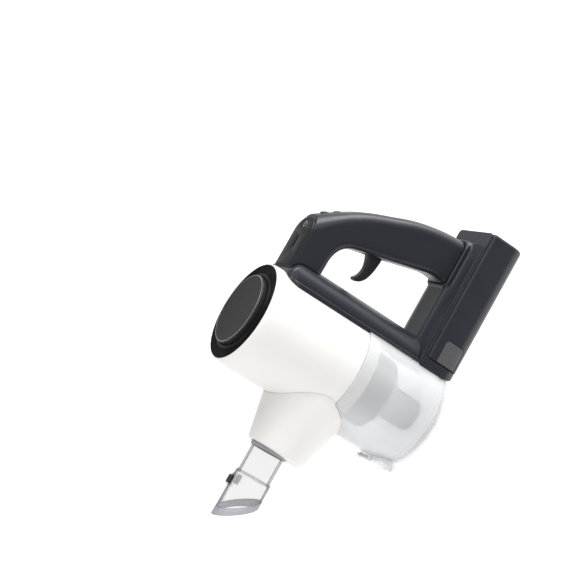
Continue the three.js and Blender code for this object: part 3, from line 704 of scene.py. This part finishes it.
def rail_body(x, y, z, g=0.0):
    e = np.sqrt((x / (31.2 + g)) ** 2 + (np.maximum(y - 46.5, 0) / (RAIL_TOP - 46.5 + g)) ** 2)
    hump = (e - 1) * 23.0
    hump = np.where(y < 46.5, np.maximum(hump, np.abs(x) - 31.2 - g), hump)
    s = poly_distance(y, z, side) - g
    hump = rmax(hump, s, 2.4)
    # skirt: a flat-edged band whose front corners are rounded in plan
    qx, qz = np.abs(x) - (RAIL_W + g - 15), z - (206.2 + g - 15)
    plan = np.sqrt(np.maximum(qx, 0) ** 2 + np.maximum(qz, 0) ** 2) + np.minimum(np.maximum(qx, qz), 0) - 15
    skirt = rmax(plan, y - 46.9 - g, 0.7)
    hump = rmax(hump, plan - 0.2, 1.5)
    return rmin(hump, skirt, 0.9)


def dock_section(x, z, g=0.0):
    pts = [(-33.4, 43.4), (33.4, 43.4), (33.2, 44.6)] + [(x, z) for x, z in catmull([(31.5, 45.3), (25, 47.0), (19.4, 49.6), (16.2, 51.6), (14.2, 52)], 5)] + [(x, z) for x, z in catmull([(-14.2, 52), (-16.2, 51.6), (-19.4, 49.6), (-25, 47.0), (-31.5, 45.3)], 5)] + [(-33.2, 44.6)]
    return poly_distance(x, z, pts) - g


dock_side = [(30, 0), (168, 0), (175, 43), (176.5, 46.4), (174.5, 50.2), (172, DOCK_Z), (30, DOCK_Z)]


def dock_body(x, y, z, g=0.0):
    s = rmax(dock_section(x, z, g), poly_distance(y, z, dock_side) - g, 0.8)
    # the foot carries on the outline of the battery column above it
    qx, qz = np.abs(x) - (34.1 - 13.5), 13.7 - z
    back = np.sqrt(np.maximum(qx, 0) ** 2 + np.maximum(qz, 0) ** 2) + np.minimum(np.maximum(qx, qz), 0) - 13.5
    foot = rmax(back - g, np.maximum(y - 53.55 - g, 38 - y), 0.5)
    foot = rmax(foot, z - 43.0, 0.4)
    d = rmin(s, foot, 0.5)
    saddle = rmax(rmax(cyl(x, y, 59.6), np.maximum(np.abs(x) - 30, z - 43.5), 0.3), back, 0.3)
    return np.minimum(d, saddle)


def f_rail(x, y, z):
    f = rail_body(x, y, z)
    f = rmax(f, 53.75 - np.sqrt(x * x + y * y), 0.35)
    f = np.where(z < 106, rmax(f, 55.5 - np.sqrt(x * x + y * y), 0.35), f)
    return rmax(f, -dock_body(x, y, z, 0.45), 0.5)


shell("rail_shell", f_rail, (-33.2, 41, 38), (33.2, 70, 206.4), "main", "charcoal_plastic", reps=["rail"])


def f_dock(x, y, z):
    f = dock_body(x, y, z)
    f = rmax(f, np.where(z < 44, 54.6, 55.6) - np.sqrt(x * x + y * y), 0.3)
    recess = rmax(np.abs(x) - 17, np.maximum(z - 16.5, y - 61), 0.6)
    # a collar that the grip drops into
    collar = rmax(grip_outline(x, y, z, 3.0), np.maximum(z - 54.2, 50 - z), 1.4)
    f = rmin(f, collar, 2.6)
    socket = np.maximum(grip_outline(x, y, z, 0.55), 51.5 - z)
    f = rmax(f, -socket, 0.3)
    return rmax(f, -recess, 0.4)


# ------------------------------------------------------------------ handle
TOP = catmull([(103, 219), (108.2, 212), (113.2, 205), (124.6, 189), (142, 160.8), (154, 132.4), (162.2, 111.1), (167.9, 88.9), (171.4, 66), (172.2, 40)], 7)
TOP_REGION = TOP + [(172.2, 0), (-40, 0), (-40, 219)]
UNDER = catmull([(124.0, 40), (124.8, 52), (126.6, 60), (126.5, 70), (122, 88), (113.5, 120), (106.5, 149), (102.5, 159.5), (95.5, 166.8), (86, 170.4), (76, 171), (40, 171)], 7)
HOLE = UNDER + [(-40, 171), (-40, 0), (124.0, 0)]


def grip_outline(x, y, z, g=0.0):
    """The grip without its ends: rounded outside, flatter inside."""
    so = poly_distance(y, z, TOP_REGION) - g
    si = -poly_distance(y, z, HOLE) - g
    ro = 10.5 + 5.0 * np.clip((z - 178) / 26, 0, 1)
    w = POST_W - 0.9 * np.clip((150 - z) / 90, 0, 1)
    f = np.maximum(so, np.abs(x) - w - g)
    a, b = np.maximum(so + ro, 0), np.maximum(np.abs(x) - w - g + ro, 0)
    f = np.minimum(-ro, f) + np.sqrt(a * a + b * b)
    f2 = rmax(np.abs(x) - w - g, si, 7.5)
    return np.maximum(f, f2)


N_TOP = np.array([0, 28.2, 17.4]) / math.hypot(28.2, 17.4)
KEYS = [(121.2, 194.2), (128.4, 182.8)]


def f_handle(x, y, z):
    f = grip_outline(x, y, z)
    f = rmax(f, z - Z_POST, 0.5)
    # shallow seat under the panel, so that its edge sits in a fine recess
    f = np.maximum(f, 53.4 - z + np.zeros_like(f))
    f = rmax(f, 53.0 - z, 1.8)
    f = rmax(f, 53.8 - np.sqrt(x * x + y * y), 0.4)
    f = rmax(f, -rail_body(x, y, z, 0.45), 0.5)
    slot = rmax(np.abs(x) - 5.9, np.maximum(np.abs(y - 108) - 13.2, np.abs(z - 126.2) - 13.4), 0.5)
    f = rmax(f, -slot, 0.5)
    for ky, kz in KEYS:
        # a dished seat round each key
        d = (y - ky) * N_TOP[1] + (z - kz) * N_TOP[2]
        t = np.sqrt(x * x + ((y - ky) * N_TOP[2] - (z - kz) * N_TOP[1]) ** 2)
        f = rmax(f, -np.maximum(t - 4.25, -3.0 - d), 0.3)
    # wells for the three screws on the left half
    for cy, cz in ((84, 187), (136, 130), (146, 72)):
        f = rmax(f, -np.maximum(np.sqrt((y - cy) ** 2 + (z - cz) ** 2) - 3.1, x + 15.9), 0.25)
    return f


shell("handle_arch", f_handle, (-19.4, 43, 53), (19.4, 174, 203.2), "main", "charcoal_plastic", reps=["handle_shell_right", "handle_shell_left"])
shell("battery_dock_shell", f_dock, (-34.8, 40, 0), (34.8, 177, 55), "main", "charcoal_plastic", reps=["battery_dock"])

# raised keys on the upper face of the handle
for i, (ky, kz) in enumerate(KEYS):
    R = Matrix(((1, 0, 0), (0, N_TOP[2], N_TOP[1]), (0, -N_TOP[1], N_TOP[2])))
    M4 = Matrix.Translation((0, ky, kz)) @ R.to_4x4()
    lathe(f"mode_key_{i + 1}", [(0, -3.8), (3.85, -3.8), (3.85, 0.2), (3.5, 0.95), (2.2, 1.35), (0, 1.45)], f"mode_key_{i + 1}", "charcoal_plastic",
          reps=[f"mode_button_{i + 1}"], segs=64, radius=[0, 0.2, 0.8, 1.2, 2.0, 0], steps=5, matrix=M4, angle=60)

# ------------------------------------------------------------------ panel on the front of the handle


def arch_outline(w, y0, yc, h, n=48, corner=1.2):
    pts = [(-w + corner, y0), (w - corner, y0)]
    pts += [(w - corner + corner * math.sin(a), y0 + corner - corner * math.cos(a)) for a in np.linspace(0.2, math.pi / 2, 5)]
    pts += [(w * math.cos(a), yc + h * math.sin(a)) for a in np.linspace(0, math.pi, n)]
    pts += [(-w + corner - corner * math.cos(a), y0 + corner - corner * math.sin(a)) for a in np.linspace(0, math.pi / 2 - 0.2, 5)]
    return pts


circle = lambda cx, cy, r, n=48: [(cx + r * math.cos(2 * math.pi * k / n), cy + r * math.sin(2 * math.pi * k / n)) for k in range(n)]
stadium = [(2.0 * math.cos(a), 88 + 2.0 * math.sin(a)) for a in np.linspace(0, math.pi, 14)] + [(2.0 * math.cos(a), 78.5 + 2.0 * math.sin(a)) for a in np.linspace(math.pi, 2 * math.pi, 14)]
P0 = Z_POST + 0.2
plate("panel_rim", [arch_outline(19.0, 57.0, 95.3, 15.9), arch_outline(18.0, 57.9, 95.3, 14.9)], P0, P0 + 1.55, 0.3, "main", "charcoal_plastic")
plate("panel_face", [arch_outline(17.65, 58.2, 95.3, 14.55), circle(0, 102.5, 5.5), stadium], P0, P0 + 1.9, 0.3, "main", "panel_gloss", reps=["display_panel"])
st2 = [(x * 0.86, (y - 83.25) * 0.97 + 83.25) for x, y in stadium]
plate("indicator_lens", [st2], P0, P0 + 1.35, 0.2, "main", "indicator_lens", reps=["indicator_window"])
plate("power_key", [circle(0, 102.5, 5.25)], 200.4, P0 + 1.95, 0.3, "power_key", "panel_gloss", reps=["power_button"])
# power mark: an open ring and a stroke, standing 0.1 mm proud


def arc_band(name, cx, cy, r0, r1, a0, a1, z0, z1, body, slot, material):
    out = [(cx + r1 * math.cos(a), cy + r1 * math.sin(a)) for a in np.linspace(a0, a1, 40)] + [(cx + r0 * math.cos(a), cy + r0 * math.sin(a)) for a in np.linspace(a1, a0, 40)]
    return plate(name, [out], z0, z1, 0.03, body, slot, material)


MAT["mark_grey"] = plastic("mark_grey", [0.30, 0.31, 0.31], 0.35, grain=0.02, mottle=0.02)
arc_band("power_mark_ring", 0, 102.5, 2.75, 3.3, math.radians(125), math.radians(415), P0 + 1.9, P0 + 2.06, "power_key", "panel_gloss", "mark_grey")
plate("power_mark_stroke", [[(-0.28, 102.9), (0.28, 102.9), (0.28, 106.2), (-0.28, 106.2)]], P0 + 1.9, P0 + 2.06, 0.03, "power_key", "panel_gloss", "mark_grey")

# ------------------------------------------------------------------ trigger
TRIG = catmull([(121, 136.2), (113, 135.4), (104, 131.6), (96, 130.2), (88, 132.6), (83.6, 135.9), (81.8, 133.6), (83.4, 128.4), (88, 124), (95, 121), (104, 119.3), (113, 118.6), (121, 119.6), (124.6, 124), (124.8, 131), (121, 136.2)], 5)


def f_trigger(x, y, z):
    return rmax(np.abs(x) - 5.0, poly_distance(y, z, TRIG), 1.9)


shell("trigger_blade", f_trigger, (-5.2, 81, 118), (5.2, 125.2, 137), "trigger", "trigger_dark", reps=["trigger"], h=0.55)

# ------------------------------------------------------------------ battery column
RB = 13.5


def column(x, y, z, g=0.0):
    """The column's section: large radii at the back, small ones in front, and a soft upper end."""
    qx, qz = np.abs(x) - (COL_W - RB), (RB) - z
    back = np.sqrt(np.maximum(qx, 0) ** 2 + np.maximum(qz, 0) ** 2) + np.minimum(np.maximum(qx, qz), 0) - RB
    sec = rmax(back, z - (COL_Z - 2.6), 3.4)
    f = rmax(sec - g, y - COL_Y1 - g, 3.2)
    return rmax(f, COL_Y0 - y - g, 0.5)


BTN = rounded_profile([(50, 7.2), (77.9, 7.2), (77.9, 29.6), (50, 29.6)], [0, 3.4, 3.4, 0], 8)


def f_case(x, y, z):
    f = column(x, y, z)
    f = rmax(f, 60.1 - np.sqrt(x * x + y * y), 0.4)
    pocket = np.maximum(poly_distance(y, z, BTN) - 0.38, 29.8 - np.abs(x))
    return rmax(f, -pocket, 0.35)


shell("battery_shell", f_case, (-34.8, 53.6, -0.3), (34.8, 192.4, 40.6), "battery", "charcoal_plastic", reps=["battery_case"])


def f_front(x, y, z):
    f = rmax(np.abs(x) - 34.0, np.maximum(z - COL_Z, 40.75 - z), 1.0)
    qx, qy = np.abs(x) - (34.0 - 5), y - (191.2 - 5)
    plan = np.sqrt(np.maximum(qx, 0) ** 2 + np.maximum(qy, 0) ** 2) + np.minimum(np.maximum(qx, qy), 0) - 5
    f = rmax(f, plan, 1.0)
    f = rmax(f, COL_Y0 - y, 0.4)
    return rmax(f, 60.1 - np.sqrt(x * x + y * y), 0.3)


shell("battery_front_cover", f_front, (-34.2, 53.8, 40.6), (34.2, 191.6, 43.2), "battery", "charcoal_plastic", reps=["battery_front_plate"], h=0.7)


def f_btn(side):
    def f(x, y, z):
        s = rmax(column(x, y, z, 0.15), poly_distance(y, z, BTN) + 0.02, 0.45)
        s = rmax(s, 31.3 - side * x, 0.2)
        return np.maximum(s, 54.5 - y)

    return f


shell("release_pad_right", f_btn(1), (31.2, 54.4, 7), (34.9, 78.4, 30), "release_right", "release_grey", reps=["release_button_right"], h=0.5)
shell("release_pad_left", f_btn(-1), (-34.9, 54.4, 7), (-31.2, 78.4, 30), "release_left", "release_grey", reps=["release_button_left"], h=0.5)

# ------------------------------------------------------------------ dust bin
lathe(
    "bin_wall",
    [(51.9, 11.5), (53.5, 11.5), (53.9, 12.3), (53.93, 16), (53.6, 16.4), (53.6, 17.2), (53.96, 17.6), (54.95, 104.2), (54.6, 104.7), (52.9, 104.7)],
    "bin", "clear_plastic", "bin_clear", reps=["dust_bin"], segs=256, radius=[0.3, 0.3, 0.3, 0.1, 0.1, 0.1, 0.1, 0.3, 0.3, 0.3], steps=3, angle=50,
)
lathe(
    "lid_shell",
    [(0, 3.0), (49.2, 3.0), (51.1, 4.2), (52.5, 6.4), (52.7, 10.9), (49.8, 10.9), (49.4, 6.2), (48.6, 5.4), (0, 5.2)],
    "lid", "clear_plastic", "lid_clear", reps=["bin_lid"], segs=256, radius=[0, 1.5, 1.2, 1.2, 0.4, 0.3, 0.6, 0.6, 0], steps=4, angle=50,
)
lathe("lid_foot_ring", [(33, 0), (37, 0), (37, 2.95), (33, 2.95)], "lid", "clear_plastic", "ring_clear", segs=160, radius=0.5, steps=4)
lathe("lid_gasket", [(48.2, 6.5), (49.2, 6.5), (49.25, 13.2), (48.3, 13.4)], "lid", "soft_lip", "gasket_clear", reps=["lid_seal"], segs=160, radius=0.3)


# hinge and latch of the lid, in clear plastic
def hinge_lug(x0, x1, name, body, keep_up=True):
    def f(x, y, z):
        k = rmax(np.sqrt((y - 54.3) ** 2 + (z - 3.5) ** 2) - 2.8, np.maximum(x0 - x, x - x1), 0.4)
        web = np.maximum(np.maximum(x0 - x, x - x1), np.maximum(np.abs(y - 55.4) - 1.7, np.abs(z - 9.2) - 5.8))
        s = rmin(k, web, 0.8)
        s = np.maximum(s, -(np.sqrt((y - 54.3) ** 2 + (z - 3.5) ** 2) - 1.65))
        return np.maximum(s, 53.7 - np.sqrt(x * x + y * y) - 1.2 * (z > 11.4))

    return shell(name, f, (x0 - 0.1, 50.9, 0.5), (x1 + 0.1, 57.4, 15.2), body, "clear_plastic", "lid_clear", h=0.45)


hinge_lug(8.0, 15.0, "hinge_lug_right", "bin")
hinge_lug(-15.0, -8.0, "hinge_lug_left", "bin")


def f_knuckle(x, y, z):
    k = rmax(np.sqrt((y - 54.3) ** 2 + (z - 3.5) ** 2) - 2.8, np.abs(x) - 7.5, 0.4)
    web = np.maximum(np.abs(x) - 7.5, np.maximum(np.abs(y - 52.3) - 2.0, np.abs(z - 4.6) - 1.5))
    return np.maximum(rmin(k, web, 0.6), -(np.sqrt((y - 54.3) ** 2 + (z - 3.5) ** 2) - 1.65))


shell("lid_knuckle", f_knuckle, (-7.7, 50, 0.5), (7.7, 57.4, 6.6), "lid", "clear_plastic", "lid_clear", h=0.45)

LATCH = rounded_profile([(-24, 3.6), (24, 3.6), (24, 28), (-24, 28)], [7, 7, 10, 10], 10)


def f_latch(x, y, z):
    r = np.sqrt(x * x + y * y)
    shellring = np.maximum(56.0 - r, r - 58.3)
    pad = rmax(shellring, np.maximum(poly_distance(x, z, LATCH), y + 20), 0.9)
    rim = rmax(np.maximum(56.0 - r, r - 59.15), np.maximum(np.abs(poly_distance(x, z, LATCH) + 1.5) - 1.2, y + 20), 0.5)
    pad = rmin(pad, rim, 0.5)
    k = rmax(np.sqrt((y + 57.6) ** 2 + (z - 31) ** 2) - 2.3, np.abs(x) - 7.9, 0.5)
    tab = np.maximum(np.maximum(np.abs(x) - 7.9, np.abs(y + 57.7) - 1.5), np.abs(z - 28.4) - 2.6)
    nib = rmax(np.maximum(np.abs(x) - 9, np.abs(y + 54.6) - 4.0), np.abs(z - 1.75) - 0.85, 0.3)
    stem = np.maximum(np.maximum(np.abs(x) - 9, np.abs(y + 57.4) - 1.2), np.abs(z - 3.4) - 2.5)
    f = rmin(rmin(pad, rmin(k, tab, 0.6), 0.8), rmin(nib, stem, 0.3), 0.5)
    f = np.maximum(f, -(np.sqrt((y + 57.6) ** 2 + (z - 31) ** 2) - 1.35))
    return np.maximum(f, 55.35 - np.where(z > 4, r, 99))


shell("latch_tab", f_latch, (-24.2, -59.4, 0.7), (24.2, -50.4, 33.6), "latch", "clear_plastic", "lid_clear", reps=["lid_latch"], h=0.55)
for sx in (-1, 1):
    lathe(f"latch_ear_{'left' if sx < 0 else 'right'}", [(1.45, -1.5), (2.9, -1.5), (2.9, 1.5), (1.45, 1.5)], "bin", "clear_plastic", "lid_clear", segs=48, radius=0.3,
          matrix=Matrix.Translation((sx * 10.0, -57.6, 31)) @ Matrix.Rotation(math.pi / 2, 4, "Y"))

# ------------------------------------------------------------------ cyclone, seen through the bin
lathe("cyclone_cup", [(20, 92.5), (24, 89.9), (44, 89.2), (48.4, 90.8), (49.4, 94), (49.4, 103.6), (46, 103.6), (46, 96), (24, 96), (20, 98)], "bin", "frosted_plastic", "inner_grey",
      reps=["cyclone_body"], segs=192, radius=[0.4, 3, 3, 3, 3, 0.5, 0.4, 1, 1, 0.5], steps=5)
# the dust cone carries painted shade, darker towards its lower end
lathe("dust_cone_shell", [(15.2, 8.8), (16.8, 8.8), (17.0, 36), (19.5, 41.5), (29.5, 49.5), (34.4, 53.6), (34.4, 55.6), (33, 55.6), (28.4, 51.0), (18.2, 42.6), (15.3, 37)], "bin", "frosted_plastic", "cone_grey",
      reps=["dust_cone"], segs=160, radius=[0.5, 3.0, 5, 5, 3, 0.8, 0.4, 0.5, 3, 5, 4], steps=5)


def perforated_shroud():
    """A drum of thin steel with rows of real holes."""
    R, t, z0, z1 = 37.0, 0.8, 56.3, 88.2
    nth, nz = 88, 12
    V, F = [], []
    for surf, rad in ((0, R), (1, R - t)):
        for i in range(nth):
            for k in range(nz):
                for c in range(4):
                    da, dz = [(-1, -1), (1, -1), (1, 1), (-1, 1)][c]
                    a = 2 * math.pi * (i + 0.5 + 0.5 * da) / nth
                    z = z0 + (z1 - z0) * (k + 0.5 + 0.5 * dz) / nz
                    V.append((rad * math.cos(a), rad * math.sin(a), z))
                for c in range(8):
                    q = 2 * math.pi * (c + 0.5) / 8
                    a = 2 * math.pi * (i + 0.5) / nth + 0.62 / R * 1.25 * math.cos(q)
                    z = z0 + (z1 - z0) * (k + 0.5) / nz + 0.78 * math.sin(q)
                    V.append((rad * math.cos(a), rad * math.sin(a), z))
    per = 12
    for surf in (0, 1):
        off = surf * nth * nz * per
        for i in range(nth):
            for k in range(nz):
                b = off + (i * nz + k) * per
                o8 = [b + 4 + c for c in range(8)]
                q = [b, b + 1, b + 2, b + 3]
                # corner q0 is lower left: octagon points 4, 5 face it; q1: 6, 7; q2: 0, 1; q3: 2, 3
                near = {0: (4, 5), 1: (6, 7), 2: (0, 1), 3: (2, 3)}
                for c in range(4):
                    n0, n1 = near[c]
                    F.append((q[c], o8[n0], o8[n1]) if surf else (q[c], o8[n1], o8[n0]))
                for c, d, x0, x1 in ((0, 1, 5, 6), (1, 2, 7, 0), (2, 3, 1, 2), (3, 0, 3, 4)):
                    F.append((q[c], o8[x0], o8[x1], q[d]) if surf else (q[d], o8[x1], o8[x0], q[c]))
    half = nth * nz * per
    for i in range(nth):
        for k in range(nz):
            b = (i * nz + k) * per + 4
            for c in range(8):
                d = (c + 1) % 8
                F.append((b + c, b + d, b + d + half, b + c + half))
    me_v = np.array(V)
    o = make("mesh_shroud_screen", me_v, F, "bin", "mesh_steel", reps=["mesh_shroud"], smooth=True, angle=40)
    import bmesh

    bm = bmesh.new()
    bm.from_mesh(o.data)
    bmesh.ops.remove_doubles(bm, verts=bm.verts, dist=1e-6)
    bmesh.ops.recalc_face_normals(bm, faces=bm.faces)
    bm.to_mesh(o.data)
    bm.free()
    return o


perforated_shroud()
lathe("shroud_cap", [(24.6, 88.3), (37.1, 88.3), (37.1, 89.1), (36.2, 89.9), (24.6, 89.9)], "bin", "frosted_plastic", "inner_grey", segs=160, radius=0.3)
lathe("shroud_base_ring", [(35.6, 55.8), (37.15, 55.8), (37.15, 56.6), (35.6, 56.6)], "bin", "frosted_plastic", "inner_grey", segs=160, radius=0.15)

# ------------------------------------------------------------------ suction tube
RY = Matrix.Translation((0, 0, NOZZLE_Z)) @ Matrix.Rotation(math.pi / 2, 4, "X")
lathe("suction_tube", [(15.4, 61.2), (17.05, 61.2), (17.05, 131.8), (15.4, 131.8)], "tube", "clear_plastic", "tube_clear", reps=["nozzle_tube"], segs=144, radius=0.35, matrix=RY)
lathe("tube_collar", [(17.5, 98.7), (19.1, 98.7), (19.1, 101.9), (18.5, 102.6), (17.5, 102.6)], "main", "soft_lip", "tube_grey", reps=["nozzle_seal"], segs=144, radius=0.35, matrix=RY)
mouth = lambda d, z: -166.4 + d - (z - NOZZLE_Z) * 0.70


def sleeve_mesh(name, rings, r_pairs, body, slot, material, reps=()):
    """A tube round the suction axis cut on a slant: r_pairs are the (radius, start, end offset) of each ring of the closed section."""
    n = 160
    V, F = [], []
    for r, kind, val in r_pairs:
        for i in range(n):
            a = 2 * math.pi * i / n
            x, z = r * math.sin(a), NOZZLE_Z + r * math.cos(a)
            y = val if kind == "y" else mouth(val, z)
            V.append((x, y, z))
    m = len(r_pairs)
    for k in range(m):
        for i in range(n):
            F.append((k * n + i, k * n + (i + 1) % n, ((k + 1) % m) * n + (i + 1) % n, ((k + 1) % m) * n + i))
    o = make(name, V, F, body, slot, material, reps, angle=45)
    fix_normals(o)
    return o


SR = SLEEVE_R
sleeve_mesh("suction_sleeve", None,
            [(SR - 1.1, "y", -130.4), (SR - 0.9, "y", -130.2), (SR - 0.2, "y", -130.2), (SR, "y", -130.5),
             (SR, "y", -133.4), (SR - 0.02, "m", 10.4), (SR - 0.02, "m", 8.9), (SR - 0.3, "m", 8.65), (SR - 0.9, "m", 8.65), (SR - 1.1, "m", 8.9)],
            "sleeve", "clear_plastic", "tube_clear", ["nozzle_sleeve"])
sleeve_mesh("suction_lip", None,
            [(SR - 1.1, "m", 8.1), (SR - 0.9, "m", 8.35), (SR + 0.1, "m", 8.35), (SR + 0.3, "m", 8.1), (SR + 0.3, "m", 0.7), (SR + 0.05, "m", 0.2), (SR - 0.4, "m", 0.0), (SR - 0.8, "m", 0.1), (SR - 1.15, "m", 0.5)],
            "sleeve", "soft_lip", "lip_soft", ["nozzle_lip"])

lathe("sleeve_end_ring", [(SR - 0.6, 129.4), (SR + 0.12, 129.4), (SR + 0.12, 129.95), (SR - 0.6, 129.95)], "sleeve", "clear_plastic", "edge_line", segs=144, radius=0.1, steps=3, matrix=RY)


def f_guide(x, y, z):
    r = np.sqrt(x * x + (z - NOZZLE_Z) ** 2)
    s = rmax(np.maximum(np.abs(x) - 6.2, np.abs(y + 142) - 6.0), z - NOZZLE_Z - 19.8, 0.6)
    s = np.maximum(s, SR - 0.3 - r)
    return np.maximum(s, -np.maximum(np.maximum(np.abs(x) - 4.9, np.abs(y + 142) - 4.8), NOZZLE_Z + 18.95 - z))


shell("slide_frame", f_guide, (-6.4, -148.2, NOZZLE_Z + 16), (6.4, -135.8, NOZZLE_Z + 20.8), "sleeve", "clear_plastic", "tube_clear", h=0.35)


def f_key(x, y, z):
    # a black key with fine cross ribs
    s = rmax(np.maximum(np.abs(x) - 4.5, np.abs(y + 142) - 4.35), np.maximum(z - NOZZLE_Z - 22.3, NOZZLE_Z + 19.95 - z), 0.55)
    rib = z - NOZZLE_Z - 21.9 - 0.32 * np.cos((y + 142) * 2 * math.pi / 1.45)
    return np.maximum(s, rib)


shell("slide_key", f_key, (-4.7, -146.5, NOZZLE_Z + 20), (4.7, -137.5, NOZZLE_Z + 24.8), "sleeve_key", "trigger_dark", reps=["nozzle_button"], h=0.24)

# ribbed grip pad on the flank of the sleeve, beside the key
MAT["pad_grey"] = plastic("pad_grey", [0.36, 0.36, 0.37], 0.5, grain=0.2, mottle=0.05)


def f_pad(sgn):
    c, s_ = math.cos(math.radians(58)), math.sin(math.radians(58))

    def f(x, y, z):
        r = np.sqrt(x * x + (z - NOZZLE_Z) ** 2)
        ang = np.arctan2(z - NOZZLE_Z, x * sgn)
        w = (ang - math.radians(64.5)) * SR
        rib = 0.22 * np.cos((y + 139) * 2 * math.pi / 1.5)
        body = np.maximum(np.maximum(SR + 0.02 - r, r - SR - 0.45 - rib), np.maximum(np.abs(w) - 3.2, np.abs(y + 139) - 4.9))
        return body

    return f


shell("slide_pad_right", f_pad(1), (4.0, -144.6, NOZZLE_Z + 12), (13.6, -133.4, NOZZLE_Z + 19.4), "sleeve", "trigger_dark", "pad_grey", h=0.25)
shell("slide_pad_left", f_pad(-1), (-13.6, -144.6, NOZZLE_Z + 12), (-4.0, -133.4, NOZZLE_Z + 19.4), "sleeve", "trigger_dark", "pad_grey", h=0.25)

# ------------------------------------------------------------------ CAD nodes that stay, with their finishes
SLOT_OF = {s["node"]: s["material_slot"] for s in frame["record"]["subparts"]}
for n, o in frame["nodes"].items():
    if not o.hide_render and SLOT_OF.get(n) in MAT:
        o.data.materials.clear()
        o.data.materials.append(MAT["pin_light" if n in ("latch_pin", "lid_hinge_pin") else SLOT_OF[n]])

# ------------------------------------------------------------------ floor, light, camera
bpy.context.scene.view_settings.view_transform = "Standard"
world = bpy.data.worlds.new("studio") if bpy.context.scene.world is None else bpy.context.scene.world
bpy.context.scene.world = world
world.use_nodes = True
bg = world.node_tree.nodes.get("Background") or world.node_tree.nodes.new("ShaderNodeBackground")
bg.inputs["Strength"].default_value = 1.0
# a studio cove: bright round the horizon, dimmer overhead
wt = world.node_tree
w_tc, w_sep, w_ramp = wt.nodes.new("ShaderNodeTexCoord"), wt.nodes.new("ShaderNodeSeparateXYZ"), wt.nodes.new("ShaderNodeValToRGB")
wt.links.new(w_tc.outputs["Generated"], w_sep.inputs["Vector"])
wt.links.new(w_sep.outputs["Z"], w_ramp.inputs["Fac"])
wt.links.new(w_ramp.outputs["Color"], bg.inputs["Color"])
w_ramp.color_ramp.elements[0].position, w_ramp.color_ramp.elements[0].color = 0.12, (1.0, 1.0, 1.0, 1)
w_ramp.color_ramp.elements[1].position, w_ramp.color_ramp.elements[1].color = 0.50, (0.42, 0.42, 0.42, 1)

floor_me = bpy.data.meshes.new("studio_floor")
floor_me.from_pydata([(-6, -6, 0), (6, -6, 0), (6, 6, 0), (-6, 6, 0)], [], [(0, 1, 2, 3)])
floor = bpy.data.objects.new("studio_floor", floor_me)
bpy.context.scene.collection.objects.link(floor)
floor.location = (0, 0, -0.16)
fm, fn, fl, fb = new_material("studio_floor")
fb.inputs["Base Color"].default_value = (0.60, 0.60, 0.60, 1)
fb.inputs["Roughness"].default_value = 0.9
fb.inputs["Specular IOR Level"].default_value = 0.1
fb.inputs["Emission Color"].default_value = (1, 1, 1, 1)
fb.inputs["Emission Strength"].default_value = 0.69
floor_me.materials.append(fm)

AZ, EL, ROLL = math.radians(82), math.radians(22), math.radians(57.3)
T = Vector((0, 0.03622, 0.19232))
c = Vector((math.sin(AZ) * math.cos(EL), -math.cos(AZ) * math.cos(EL), math.sin(EL)))
R0 = Vector((math.cos(AZ), math.sin(AZ), 0))
U0 = Vector((-math.sin(AZ) * math.sin(EL), math.cos(AZ) * math.sin(EL), math.cos(EL)))
right = R0 * math.cos(ROLL) - U0 * math.sin(ROLL)
up = R0 * math.sin(ROLL) + U0 * math.cos(ROLL)
cam_data = bpy.data.cameras.new("camera")
cam = bpy.data.objects.new("camera", cam_data)
bpy.context.scene.collection.objects.link(cam)
cam_data.sensor_width = 36.0
cam_data.lens = 36.0 * 1850.0 / 570.0
cam.matrix_world = Matrix((
    (right.x, up.x, c.x, T.x + c.x * 1.757),
    (right.y, up.y, c.y, T.y + c.y * 1.757),
    (right.z, up.z, c.z, T.z + c.z * 1.757),
    (0, 0, 0, 1),
))
cam_data.clip_start, cam_data.clip_end = 0.05, 50
bpy.context.scene.camera = cam


def area(name, direction, dist, size, power, size_y=None, target=Vector((0, 0.02, 0.12)), color=(1, 1, 1)):
    d = Vector(direction).normalized()
    l = bpy.data.lights.new(name, "AREA")
    l.energy, l.size, l.color = power, size, color
    if size_y:
        l.shape, l.size_y = "RECTANGLE", size_y
    o = bpy.data.objects.new(name, l)
    bpy.context.scene.collection.objects.link(o)
    o.location = target + d * dist
    o.rotation_mode = "QUATERNION"
    o.rotation_quaternion = (-d).to_track_quat("-Z", "Y")
    return o


area("key", c * 0.55 + up * 0.9 - right * 0.35, 1.5, 0.6, 8)
area("front", c * 1.0 + up * 0.1 - right * 0.7, 1.9, 0.9, 3.5)
area("fill", c * 0.6 - right * 1.0 - up * 0.5, 1.7, 1.2, 11)
area("rim", -c * 0.1 + up * 1.0 + right * 0.5, 1.4, 0.4, 8, size_y=1.0)
area("strip", c * 0.36 + up * 1.0 + right * 0.2, 1.3, 0.42, 13, size_y=1.3)

# a dark card low on the right side, seen only in reflections: it keeps the flat dark sides deep
card_me = bpy.data.meshes.new("studio_card")
card_me.from_pydata([(0.24, -0.9, 0), (1.9, -0.9, 0), (1.9, 1.1, 0), (0.24, 1.1, 0)], [], [(0, 1, 2, 3)])
card = bpy.data.objects.new("studio_card", card_me)
bpy.context.scene.collection.objects.link(card)
card.location = (0, 0, -0.15)
cm, cn, cl, cb = new_material("studio_card")
cb.inputs["Base Color"].default_value = (0.02, 0.02, 0.022, 1)
cb.inputs["Roughness"].default_value = 0.9
cb.inputs["Specular IOR Level"].default_value = 0.1
card_me.materials.append(cm)
card.visible_camera = card.visible_diffuse = card.visible_shadow = card.visible_transmission = False
